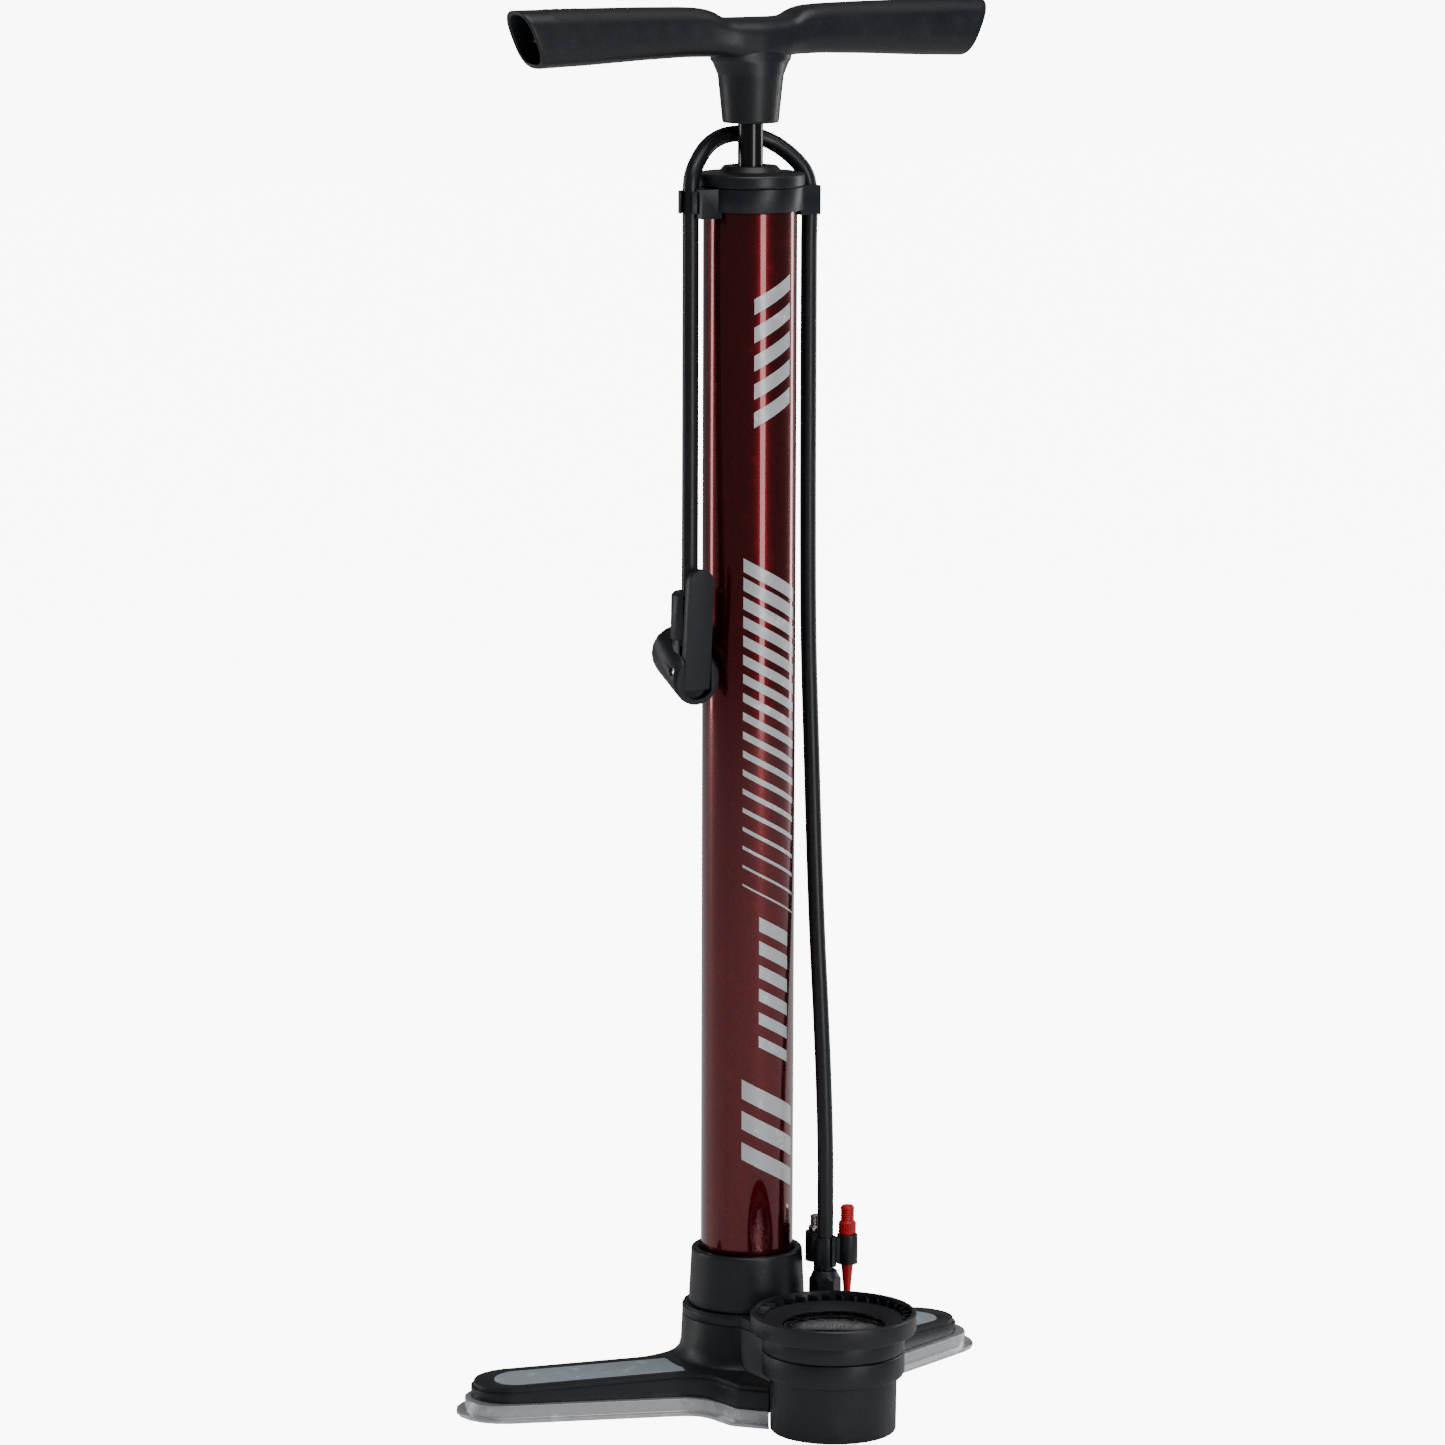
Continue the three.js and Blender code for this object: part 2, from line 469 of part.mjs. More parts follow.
// ---------------------------------------------------------------- gauge
function buildGauge() {
  const columnTop = HUB_SEAM - 0.2;
  const wall = 2.4;
  const shell = lathe([
    [0, 0], [COLUMN_RADIUS - 0.3, 0], [COLUMN_RADIUS, BAND_BOTTOM], [BAND_RADIUS - 0.9, BAND_BOTTOM],
    [BAND_RADIUS, BAND_BOTTOM + 1.4], [BAND_RADIUS, columnTop], [COLUMN_RADIUS - wall, columnTop],
    [COLUMN_RADIUS - wall, 2], [0, 2],
  ]);
  const pipeHole = rodAlongY(PIPE_RADIUS + GAP, 0, CHANNEL_Z, GAUGE_Y + 10, GAUGE_Y + 40, 12);
  add('gauge_column', cut(atGauge(shell), pipeHole), blackPlastic);

  const canBottom = 17;
  const can = disc(17, canBottom, HUB_SEAM + 2);
  const flange = disc(FLANGE_RADIUS, HUB_SEAM + 0.3, HUB_SEAM + 2);
  const spindleBore = disc(1.5, HUB_SEAM - 6, HUB_SEAM + 3, 12);
  const inlet = disc(PIPE_RADIUS + GAP, canBottom - 1, canBottom + 3, 12);
  add('gauge_movement', cut(join(atGauge(can), atGauge(flange)), atGauge(spindleBore), atGauge(inlet)),
    brass);

  const dialBottom = HUB_SEAM + 2 + GAP;
  add('gauge_dial', atGauge(ring(1.5, FLANGE_RADIUS - 0.4, dialBottom, dialBottom + 0.8)), dialWhite);

  const needleZ = dialBottom + 1.8;
  const spindle = disc(1, HUB_SEAM - 5, needleZ + 1, 12);
  const needleHub = disc(2.6, needleZ, needleZ + 1.2, SMALL_SEGMENTS);
  const pointer = new THREE.Shape([
    new THREE.Vector2(-1.1, -6), new THREE.Vector2(1.1, -6), new THREE.Vector2(0.3, 18),
    new THREE.Vector2(-0.3, 18),
  ]);
  const needle = join(spindle, needleHub, prism(pointer, needleZ + 0.1, needleZ + 0.9));
  add('gauge_needle', atGauge(needle.rotateZ(radians(NEEDLE_ZERO))), redPlastic);

  const lensBottom = NECK_TOP + GAP;
  add('gauge_lens', atGauge(disc(FLANGE_RADIUS, lensBottom, lensBottom + LENS_THICKNESS)), clear);

  const bezelBottom = NECK_TOP + GAP;
  const innerWall = 30.4;
  const lensTop = lensBottom + LENS_THICKNESS + GAP;
  const bezel = lathe([
    [FLANGE_RADIUS + GAP, bezelBottom], [BEZEL_RADIUS - 0.5, bezelBottom],
    [BEZEL_RADIUS, bezelBottom + 0.8], [BEZEL_RADIUS, BEZEL_TOP - 0.5],
    [BEZEL_RADIUS - 0.6, BEZEL_TOP], [BEZEL_RADIUS - BEZEL_WALL, BEZEL_TOP],
    [BEZEL_RADIUS - BEZEL_WALL, bezelBottom + 1.6], [innerWall, bezelBottom + 1.6],
    [innerWall, BEZEL_TOP - 3.6], [innerWall - 0.8, BEZEL_TOP - 3.1],
    [innerWall - 1.8, BEZEL_TOP - 3.4], [WINDOW_RADIUS, lensTop + 0.6], [WINDOW_RADIUS, lensTop],
    [FLANGE_RADIUS + GAP, lensTop], [FLANGE_RADIUS + GAP, bezelBottom],
  ]);
  const louvreLength = (BEZEL_RADIUS - BEZEL_WALL - innerWall) / Math.cos(radians(38)) + 1;
  const louvreRadius = (BEZEL_RADIUS - BEZEL_WALL + innerWall) / 2;
  const louvres = Array.from({ length: LOUVRE_COUNT }, (_, i) =>
    new THREE.BoxGeometry(louvreLength, 0.8, BEZEL_TOP - bezelBottom - 2.6)
      .rotateZ(radians(38))
      .translate(louvreRadius, 0, (BEZEL_TOP + bezelBottom) / 2)
      .rotateZ((i * 2 * Math.PI) / LOUVRE_COUNT));
  add('gauge_bezel', atGauge(join(bezel, ...louvres)), blackPlastic);

  const pipeCurve = new THREE.CatmullRomCurve3([
    new THREE.Vector3(0, -CHAMBER_RADIUS - 1, CHANNEL_Z),
    new THREE.Vector3(0, GAUGE_Y + 14, CHANNEL_Z),
    new THREE.Vector3(0, GAUGE_Y + 7, CHANNEL_Z - 0.4),
    new THREE.Vector3(0, GAUGE_Y + 1.4, CHANNEL_Z - 0.6),
    new THREE.Vector3(0, GAUGE_Y, CHANNEL_Z + 1.5),
    new THREE.Vector3(0, GAUGE_Y, canBottom + 2.4),
  ], false, 'centripetal');
  add('gauge_pipe', tube(pipeCurve, PIPE_RADIUS, 8, 22), brass);
}

function tube(curve, radius, sides, steps) {
  const section = new THREE.Shape(Array.from({ length: sides }, (_, i) => {
    const angle = (i * 2 * Math.PI) / sides;
    return new THREE.Vector2(radius * Math.cos(angle), radius * Math.sin(angle));
  }));
  return new THREE.ExtrudeGeometry(section, { steps, bevelEnabled: false, extrudePath: curve });
}

// ---------------------------------------------------------------- barrel and valve
function buildBarrel() {
  add('barrel', ring(BARREL_RADIUS - BARREL_WALL, BARREL_RADIUS, BARREL_BOTTOM, BARREL_TOP), redPaint);
  const sealTop = BARREL_BOTTOM - GAP;
  add('barrel_seal', ring(BARREL_RADIUS - 3, BARREL_RADIUS, SEAT_BOTTOM + GAP, sealTop), rubber);
  const plateRadius = BARREL_RADIUS - 3 - GAP;
  add('valve_plate', ring(3, plateRadius, SEAT_BOTTOM + GAP, sealTop), steel);
  add('check_valve_disc', disc(6.2, SEAT_BOTTOM - 2, SEAT_BOTTOM, SMALL_SEGMENTS), rubber);
  const springBottom = CHAMBER_FLOOR + GAP;
  const springTop = SEAT_BOTTOM - 2 - GAP;
  add('check_valve_spring', spring(4.2, 0.45, 3, springBottom, springTop), brightSteel);
}

class Helix extends THREE.Curve {
  constructor(radius, turns, bottom, top) {
    super();
    Object.assign(this, { radius, turns, bottom, top });
  }

  getPoint(t, target = new THREE.Vector3()) {
    const angle = t * this.turns * 2 * Math.PI;
    const height = this.bottom + t * (this.top - this.bottom);
    return target.set(this.radius * Math.cos(angle), this.radius * Math.sin(angle), height);
  }
}

function spring(radius, wire, turns, bottom, top) {
  const helix = new Helix(radius, turns, bottom + wire, top - wire);
  return tube(helix, wire, 5, turns * 12);
}

// ---------------------------------------------------------------- cap and hose clips
function buildCap() {
  const sleeve = disc(CAP_RADIUS, CAP_BOTTOM, CAP_SEAM - GAP);
  const clips = [-1, 1].map((side) => clipSolid(side));
  const hoseWays = [-1, 1].map((side) => clipWay(side));
  const barrelSocket = disc(BARREL_RADIUS + GAP, CAP_BOTTOM - 6, BARREL_TOP + GAP);
  const rodHole = disc(ROD_RADIUS + 1, CAP_BOTTOM, CAP_SEAM, SMALL_SEGMENTS);
  add('cap_body', cut(join(sleeve, ...clips), barrelSocket, rodHole, ...hoseWays), blackPlastic);

  const wiperPocket = ring(ROD_RADIUS - 1, ROD_RADIUS + 3 + GAP, CAP_TOP - 2, BOSS_TOP + 1, SMALL_SEGMENTS);
  const top = lathe([
    [0, CAP_SEAM], [CAP_LIP_RADIUS - 0.6, CAP_SEAM], [CAP_LIP_RADIUS, CAP_SEAM + 0.8],
    [CAP_LIP_RADIUS, CAP_TOP - 2], [CAP_LIP_RADIUS - 1, CAP_TOP - 0.5],
    [CAP_LIP_RADIUS - 2.6, CAP_TOP], [BOSS_RADIUS + 0.6, CAP_TOP], [BOSS_RADIUS - 1.6, BOSS_TOP],
    [0, BOSS_TOP],
  ]);
  const bore = disc(ROD_RADIUS + GAP, CAP_SEAM - 1, BOSS_TOP + 1, SMALL_SEGMENTS);
  add('cap_top', cut(top, bore, wiperPocket), blackPlastic);
  add('rod_wiper', ring(ROD_RADIUS + GAP, ROD_RADIUS + 3, CAP_TOP - 2 + GAP, BOSS_TOP - 0.4,
    SMALL_SEGMENTS), rubber);

  const guideBottom = BARREL_TOP - GUIDE_HEIGHT;
  add('rod_guide', ring(ROD_RADIUS + GAP, BARREL_RADIUS - BARREL_WALL - GAP, guideBottom, BARREL_TOP),
    blackPlastic);
  add('top_bumper', ring(ROD_RADIUS + GAP, ROD_RADIUS + 6, PISTON_TOP + STROKE + GAP,
    guideBottom - GAP, SMALL_SEGMENTS), rubber);
}

// A hook beside the cap: an arm behind the hose and a thick lip in front of it.
function clipSolid(side) {
  const [x, y] = [side * CLIP_X, -side * CLIP_Y];
  const sleeve = disc(HOSE_RADIUS + 1.9, CAP_BOTTOM - 0.6, CAP_SEAM - 1.2, SMALL_SEGMENTS);
  sleeve.translate(x, y, 0);
  const root = side * (CAP_RADIUS - 3.5);
  const arm = [Math.min(x, root), y, Math.max(x, root)];
  const rear = block([arm[0], y + 2.4, CAP_BOTTOM - 0.6], [arm[2], y + 5.2, CAP_SEAM - 1.2]);
  const lip = block([arm[0], y - 9.4, CAP_BOTTOM - 2.6], [arm[2], y - 3.6, CAP_SEAM - GAP]);
  return join(sleeve, rear, lip);
}

function clipWay(side) {
  const [x, y] = [side * CLIP_X, -side * CLIP_Y];
  const bore = disc(HOSE_RADIUS + 0.6, CAP_BOTTOM - 4, CAP_SEAM + 1, SMALL_SEGMENTS);
  bore.translate(x, y, 0);
  const mouth = block([0, -2.6, CAP_BOTTOM - 4], [16, 2.6, CAP_SEAM + 1]);
  mouth.rotateZ(side > 0 ? radians(-35) : radians(215)).translate(x, y, 0);
  return join(bore, mouth);
}

// ---------------------------------------------------------------- rod and piston
function buildRod() {
  const boreRadius = SPIGOT_RADIUS + GAP;
  const sealRadius = BARREL_RADIUS - BARREL_WALL - GAP;
  let height = PISTON_BOTTOM;
  const stack = (thickness) => {
    const low = height;
    height += thickness + GAP;
    return [low, low + thickness];
  };
  const [nutLow, nutHigh] = stack(NUT_HEIGHT);
  const nutBore = disc(boreRadius, nutLow - 1, nutHigh + 1, SMALL_SEGMENTS);
  add('piston_nut', cut(disc(6.8, nutLow, nutHigh, 6), nutBore), brightSteel);
  add('piston_washer', ring(boreRadius, 11, ...stack(WASHER_HEIGHT), SMALL_SEGMENTS), steel);
  const [cupLow, cupHigh] = stack(CUP_HEIGHT);
  add('piston_cup', lathe([
    [boreRadius, cupHigh - 2.4], [sealRadius - 5, cupHigh - 2.4], [sealRadius - 1.9, cupLow],
    [sealRadius, cupLow],
    [sealRadius - 0.6, cupHigh - 1], [sealRadius - 1.8, cupHigh],
    [boreRadius, cupHigh], [boreRadius, cupHigh - 2.4],
  ]), rubber);
  const [headLow, headHigh] = stack(PISTON_HEIGHT);
  const groove = 2.2;
  add('piston_head', lathe([
    [boreRadius, headLow], [sealRadius - 0.6, headLow], [sealRadius - 0.6, headLow + 4],
    [sealRadius - groove, headLow + 4], [sealRadius - groove, headLow + 7],
    [sealRadius - 0.6, headLow + 7], [sealRadius - 0.6, headHigh], [boreRadius, headHigh],
    [boreRadius, headLow],
  ]), softBlack);
  add('piston_guide_ring', ring(sealRadius - groove + GAP, sealRadius, headLow + 4 + GAP,
    headLow + 7 - GAP), redPlastic);
  const shoulder = headHigh + GAP;
  add('piston_rod', lathe([
    [0, ROD_BOTTOM], [SPIGOT_RADIUS - 0.6, ROD_BOTTOM], [SPIGOT_RADIUS, ROD_BOTTOM + 0.8],
    [SPIGOT_RADIUS, shoulder], [ROD_RADIUS, shoulder], [ROD_RADIUS, ROD_TOP], [0, ROD_TOP],
  ], SMALL_SEGMENTS), blackRod);
}

// ---------------------------------------------------------------- handle
// One rounded section of the handle at x: its corners are softer where power is small.
function handleSection(x, low, high, depth, shrink = 0, slant = 0) {
  const steps = 18;
  const power = 0.72;
  const halfHeight = (high - low) / 2 - shrink;
  const halfDepth = depth / 2 - shrink;
  const middle = (high + low) / 2;
  return Array.from({ length: steps }, (_, i) => {
    const angle = (i * 2 * Math.PI) / steps;
    const soft = (value) => Math.sign(value) * Math.abs(value) ** power;
    const y = halfDepth * soft(Math.cos(angle));
    const z = middle + halfHeight * soft(Math.sin(angle));
    return [x - Math.sign(x) * slant * (high - z), y, z];
  });
}

function gripStations(shrink, innerX) {
  const half = [
    [HANDLE_HALF, GRIP_END_UNDERSIDE, HANDLE_TOP, GRIP_DEPTH + 1.5, END_SLANT],
    [HANDLE_HALF - 30, GRIP_END_UNDERSIDE + 0.8, HANDLE_TOP, GRIP_DEPTH + 0.8, 0.1],
    [HANDLE_HALF - 60, GRIP_UNDERSIDE - 0.6, HANDLE_TOP - 0.2, GRIP_DEPTH, 0],
    [36, GRIP_UNDERSIDE, HANDLE_TOP - 0.6, GRIP_DEPTH, 0],
    [24, GRIP_UNDERSIDE - 1, HANDLE_TOP - 1.6, GRIP_DEPTH + 1, 0],
    [14, GRIP_UNDERSIDE - 4, SADDLE_TOP + 0.8, GRIP_DEPTH + 3, 0],
  ];
  return half.filter(([x]) => x > innerX)
    .map(([x, low, high, depth, slant]) => [x, low, high, depth, shrink, slant]);
}

function gripLoft(shrink) {
  const right = gripStations(shrink, 0);
  const left = [...right].reverse().map(([x, ...rest]) => [-x, ...rest]);
  const centre = [[0, GRIP_UNDERSIDE - 6, SADDLE_TOP, GRIP_DEPTH + 4, shrink, 0]];
  const stations = [...right, ...centre, ...left];
  return loft(stations.map((station) => handleSection(...station)));
}

// The hollow of one grip: open at the slanted end and closed near the stem.
function gripHollow(side) {
  const stations = gripStations(GRIP_WALL, 30);
  const past = [...stations[0]];
  past[0] += 4;
  const inward = [past, ...stations].map(([x, ...rest]) => handleSection(side * x, ...rest));
  return loft(inward);
}

function inlayRegion(side, margin) {
  const inner = 27 - margin;
  const outer = HANDLE_HALF - 12 + margin;
  const halfDepth = 7.2 + margin;
  const outline = roundedOutline([
    [inner, -halfDepth, 3], [outer, -halfDepth, 5], [outer, halfDepth, 5], [inner, halfDepth, 3],
  ], 0, 3);
  const region = prism(outline, (GRIP_UNDERSIDE + HANDLE_TOP) / 2, HANDLE_TOP + 4);
  return side > 0 ? region : region.scale(-1, 1, 1);
}

function buildHandle() {
  const stem = lathe([
    [0, STEM_BOTTOM], [STEM_RADIUS - 0.5, STEM_BOTTOM], [STEM_RADIUS, STEM_BOTTOM + 0.8],
    [STEM_TOP_RADIUS - 0.6, GRIP_UNDERSIDE - 10], [STEM_TOP_RADIUS + 0.8, GRIP_UNDERSIDE - 5],
    [STEM_TOP_RADIUS + 0.6, GRIP_UNDERSIDE + 2], [GRIP_DEPTH / 2 + 1, GRIP_UNDERSIDE + 8],
    [0, GRIP_UNDERSIDE + 8],
  ]);
  const rodBore = disc(ROD_RADIUS + GAP, STEM_BOTTOM - 1, ROD_TOP + GAP, SMALL_SEGMENTS);
  const screwBore = disc(2.6, ROD_TOP, HANDLE_TOP, 12);
  const screwWell = disc(4.6, SADDLE_TOP - 3.6, HANDLE_TOP + 2, SMALL_SEGMENTS);
  const hollows = [-1, 1].map((side) => gripHollow(side));
  const skin = cut(gripLoft(-0.5), gripLoft(INLAY_DEPTH + GAP));
  const pockets = [-1, 1].map((side) => common(skin, inlayRegion(side, GAP)));
  add('handle', cut(join(gripLoft(0), stem), rodBore, screwBore, screwWell, ...hollows, ...pockets),
    blackPlastic);

  const inlaySkin = cut(gripLoft(0), gripLoft(INLAY_DEPTH));
  add('grip_inlay_left', common(inlaySkin, inlayRegion(-1, 0)), softBlack);
  add('grip_inlay_right', common(inlaySkin, inlayRegion(1, 0)), softBlack);
  const screwHead = SADDLE_TOP - 3.3;
  add('handle_screw', lathe([
    [0, ROD_TOP + GAP], [2.2, ROD_TOP + GAP], [2.2, screwHead], [4.2, screwHead],
    [4.2, screwHead + 2], [3.4, screwHead + 2.6], [0, screwHead + 2.6],
  ], 12), brightSteel);
}

// ---------------------------------------------------------------- hose and its fittings
function buildHose() {
  const route = new THREE.CatmullRomCurve3(
    HOSE_POINTS.map((point) => new THREE.Vector3(...point)), false, 'centripetal');
  add('hose', tube(route, HOSE_RADIUS, HOSE_SIDES, HOSE_STEPS), softBlack);

  const nutBottom = 40 + GAP;
  const nut = lathe([
    [HOSE_RADIUS + GAP, nutBottom], [NUT_RADIUS, nutBottom], [NUT_RADIUS, NUT_TOP - 3.4],
    [NUT_RADIUS - 0.8, NUT_TOP - 2.6], [HOSE_RADIUS + 1.8, NUT_TOP], [HOSE_RADIUS + GAP, NUT_TOP],
    [HOSE_RADIUS + GAP, nutBottom],
  ], 12);
  add('hose_nut', atOutlet(nut), blackPlastic);
  add('hose_barb', atOutlet(lathe([
    [0, 22], [BARB_RADIUS - 1, 22], [BARB_RADIUS - 1, 40.5], [BARB_RADIUS, 41],
    [BARB_RADIUS - 0.8, 44], [BARB_RADIUS, 44.6], [BARB_RADIUS - 1, 49.4], [0, 49.4],
  ], 12)), brass);
}

function buildAdapters() {
  const grip = ring(HOSE_RADIUS + GAP, HOSE_RADIUS + 1.5, HOLDER_BOTTOM, HOLDER_TOP, SMALL_SEGMENTS);
  const [coneX, coneY] = CUP_PLACES.cone;
  const [needleX, needleY] = CUP_PLACES.needle;
  const cup = (x, y) => disc(4.6, HOLDER_BOTTOM, HOLDER_TOP, SMALL_SEGMENTS).translate(x, y, 0);
  const bore = (radius, x, y) =>
    disc(radius, HOLDER_BOTTOM - 1, HOLDER_TOP + 1, SMALL_SEGMENTS).translate(x, y, 0);
  const coneArm = block([3.9, -1.6, HOLDER_BOTTOM + 1], [8, 1.2, HOLDER_TOP - 1]);
  const needleArm = block([-0.4, 3.9, HOLDER_BOTTOM + 1], [2.4, 8, HOLDER_TOP - 1]);
  const slit = block([-0.5, -6, HOLDER_BOTTOM - 1], [0.5, -2, HOLDER_TOP + 1]);
  const holder = cut(join(grip, coneArm, needleArm, cup(coneX, coneY), cup(needleX, needleY)),
    slit, bore(CONE_RADIUS + GAP, coneX, coneY), bore(NEEDLE_RADIUS + GAP, needleX, needleY),
    bore(HOSE_RADIUS + GAP, 0, 0));
  add('adapter_holder', atOutlet(holder), blackPlastic);

  const cone = lathe([
    [0, HOLDER_BOTTOM - 15], [1.3, HOLDER_BOTTOM - 15], [2.6, HOLDER_BOTTOM - 1],
    [CONE_RADIUS, HOLDER_BOTTOM + 1], [CONE_RADIUS, HOLDER_TOP + GAP],
    [3.7, HOLDER_TOP + GAP], [3.7, HOLDER_TOP + 5.4], [3.1, HOLDER_TOP + 5.8],
    [3.1, HOLDER_TOP + 12], [2.5, HOLDER_TOP + 12.8], [0, HOLDER_TOP + 12.8],
  ], 16);
  add('cone_adapter', atOutlet(cone.translate(coneX, coneY, 0)), redPlastic);
  const needle = lathe([
    [0, HOLDER_BOTTOM - 14], [0.9, HOLDER_BOTTOM - 13.4], [0.9, HOLDER_BOTTOM + 2],
    [NEEDLE_RADIUS, HOLDER_BOTTOM + 4], [NEEDLE_RADIUS, HOLDER_TOP + GAP],
    [3.2, HOLDER_TOP + GAP], [3.2, HOLDER_TOP + 2.2], [2.5, HOLDER_TOP + 2.6],
    [2.5, HOLDER_TOP + 7.2], [0, HOLDER_TOP + 7.2],
  ], 16);
  add('ball_needle', atOutlet(needle.translate(needleX, needleY, 0)), brightSteel);
}

// ---------------------------------------------------------------- pump head
const atHead = (geometry) => geometry.translate(HEAD_X, HEAD_Y, 0);

// A bar along X through the lever's pivot.
const acrossPivot = (radius, half) => disc(radius, -half, half, SMALL_SEGMENTS)
  .rotateY(Math.PI / 2).translate(HEAD_X, PIVOT_Y, PIVOT_Z);

// A round face of the head, upright in X and Z.
function headFace(face, radius) {
  const steps = 28;
  return Array.from({ length: steps }, (_, i) => {
    const angle = (i * 2 * Math.PI) / steps;
    return [HEAD_X + radius * Math.cos(angle), face.y, face.z + radius * Math.sin(angle)];
  });
}

function buildHead() {
  const slotHalf = LEVER_WIDTH / 2 + GAP;
  const slotBack = PIVOT_Y + LEVER_BOSS + 0.6;
  const heelRoom = Math.hypot(PIVOT_Z - LEVER_BOTTOM, LEVER_THICKNESS + 0.6) + 0.5;
  const portBottom = HEAD_REAR.z - PORT_RADIUS;
  const lip = { y: HEAD_FRONT.y + 1.4, z: HEAD_FRONT.z + 0.7 };
  const shell = loft([
    headFace(HEAD_FRONT, HEAD_RADIUS - 1.2), headFace(lip, HEAD_RADIUS), headFace(HEAD_REAR, HEAD_RADIUS),
  ]);
  const neckSeat = atHead(disc(NECK_RADIUS - 0.4, HEAD_REAR.z, NECK_SEAT, SMALL_SEGMENTS));
  const neckClearance = atHead(disc(NECK_RADIUS + 0.8, NECK_SEAT, HEAD_NECK_TOP, SMALL_SEGMENTS));
  const footBack = HEAD_FRONT.y + 5;
  const footWidth = block([HEAD_X - slotHalf, -20, 0], [HEAD_X + slotHalf, footBack, PIVOT_Z]);
  const footSlot = common(footWidth,
    rodAlongY(HEAD_RADIUS - SLOT_WALL, HEAD_X, HEAD_FRONT.z, -20, footBack, 28));
  const slotTop = block([HEAD_X - slotHalf, -20, HEAD_FRONT.z - 2],
    [HEAD_X + slotHalf, slotBack, NECK_SEAT - 2]);
  const mouth = block([HEAD_X - slotHalf, -20, PIVOT_Z],
    [HEAD_X + slotHalf, HEAD_Y - NECK_FLAT + 0.4, HEAD_NECK_TOP]);
  const heelWidth = block([HEAD_X - slotHalf, PIVOT_Y - 1, PIVOT_Z - heelRoom - 1],
    [HEAD_X + slotHalf, PIVOT_Y + heelRoom, portBottom + 0.4]);
  const heel = common(heelWidth, acrossPivot(heelRoom, slotHalf + 1));
  const port = rodAlongY(PORT_RADIUS, HEAD_X, HEAD_REAR.z, PLUNGER_FRONT - GAP, 30);
  const stemWay = rodAlongY(PLUNGER_STEM + GAP, HEAD_X, PIVOT_Z + 3, slotBack - 1, 3, 12);
  const pinHole = acrossPivot(PIN_RADIUS + GAP, 20);
  const body = cut(join(shell, neckSeat), neckClearance, footSlot, slotTop, mouth, heel, port,
    stemWay, pinHole);
  add('head_body', body, blackPlastic);

  const neckLow = NECK_SEAT + GAP;
  const hoseEnd = HOSE_POINTS.at(-1)[2];
  const neck = lathe([
    [0, neckLow], [NECK_RADIUS + 0.3, neckLow], [NECK_RADIUS, HEAD_NECK_TOP - 1.4],
    [NECK_RADIUS - 1.2, HEAD_NECK_TOP], [0, HEAD_NECK_TOP],
  ], SMALL_SEGMENTS);
  const flat = block([-20, -20, neckLow - 1], [20, -NECK_FLAT, HEAD_NECK_TOP + 1]);
  const hoseBore = disc(HOSE_RADIUS + GAP, hoseEnd - GAP, HEAD_NECK_TOP + 1, SMALL_SEGMENTS);
  const airBore = disc(1.6, neckLow - 1, HEAD_NECK_TOP, 12);
  add('head_neck', atHead(cut(neck, flat, hoseBore, airBore)), blackPlastic);

  buildLever();
  add('lever_pin', acrossPivot(PIN_RADIUS, HEAD_RADIUS - 0.9), brightSteel);
  buildValvePort();
}

function buildValvePort() {
  const alongPort = (radius, from, to) => rodAlongY(radius, HEAD_X, HEAD_REAR.z, from, to);
  const plate = alongPort(PLUNGER_RADIUS, PLUNGER_FRONT, PLUNGER_FRONT + 1.5);
  const stem = rodAlongY(PLUNGER_STEM, HEAD_X, PIVOT_Z + 3, PIVOT_Y + LEVER_BOSS + 0.5,
    PLUNGER_FRONT + 1, 12);
  add('clamp_plunger', cut(join(plate, stem), alongPort(1.8, PLUNGER_FRONT + 0.4, 30)), redPlastic);

  const grommetFront = PLUNGER_FRONT + 1.5 + 1.6;
  const grommetBack = HEAD_REAR.y - 0.2;
  const grommet = alongPort(PORT_RADIUS - GAP, grommetFront, grommetBack);
  add('valve_grommet', cut(grommet, alongPort(VALVE_BORE, 0, 30)), rubber);

  const ringFront = HEAD_REAR.y + GAP;
  const collar = alongPort(HEAD_RADIUS - 0.8, ringFront, ringFront + 2.2);
  add('port_ring', cut(collar, alongPort(VALVE_BORE + 0.3, 0, 30)), blackPlastic);
}

// The lever is drawn upright about its pivot, then leaned forward.
function buildLever() {
  const faceY = -LEVER_BOSS;
  const backY = faceY + LEVER_THICKNESS;
  const half = LEVER_WIDTH / 2;
  const [low, high] = [LEVER_BOTTOM - PIVOT_Z, LEVER_TOP - PIVOT_Z];
  const outline = roundedOutline([
    [-half, low, 0.8], [half, low, 0.8], [half - 0.2, high, half - 0.3],
    [-half + 0.2, high, half - 0.3],
  ]);
  const bar = new THREE.ExtrudeGeometry(outline, { depth: LEVER_THICKNESS, bevelEnabled: false })
    .rotateX(Math.PI / 2).translate(0, backY, 0);
  const boss = disc(LEVER_BOSS, -half, half, SMALL_SEGMENTS).rotateY(Math.PI / 2);
  const pinBore = disc(PIN_RADIUS + GAP, -20, 20, SMALL_SEGMENTS).rotateY(Math.PI / 2);
  const lever = cut(join(bar, boss), pinBore)
    .rotateX(radians(LEVER_LEAN)).translate(HEAD_X, PIVOT_Y, PIVOT_Z);
  add('head_lever', lever, blackPlastic);
}

// ---------------------------------------------------------------- put together
buildBase();
buildTopCover();
buildGauge();
buildBarrel();
buildCap();
buildRod();
buildHandle();
buildHose();
buildAdapters();
buildHead();

export default pump;
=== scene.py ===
"""Floor bike pump: finished surfaces, materials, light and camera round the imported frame.

Lengths in this file are millimetres measured from the barrel's axis and the floor, with X
along the handle and -Y towards the gauge. placed() turns them into the frame's metres.
"""

import json
from math import cos, pi, radians, sin

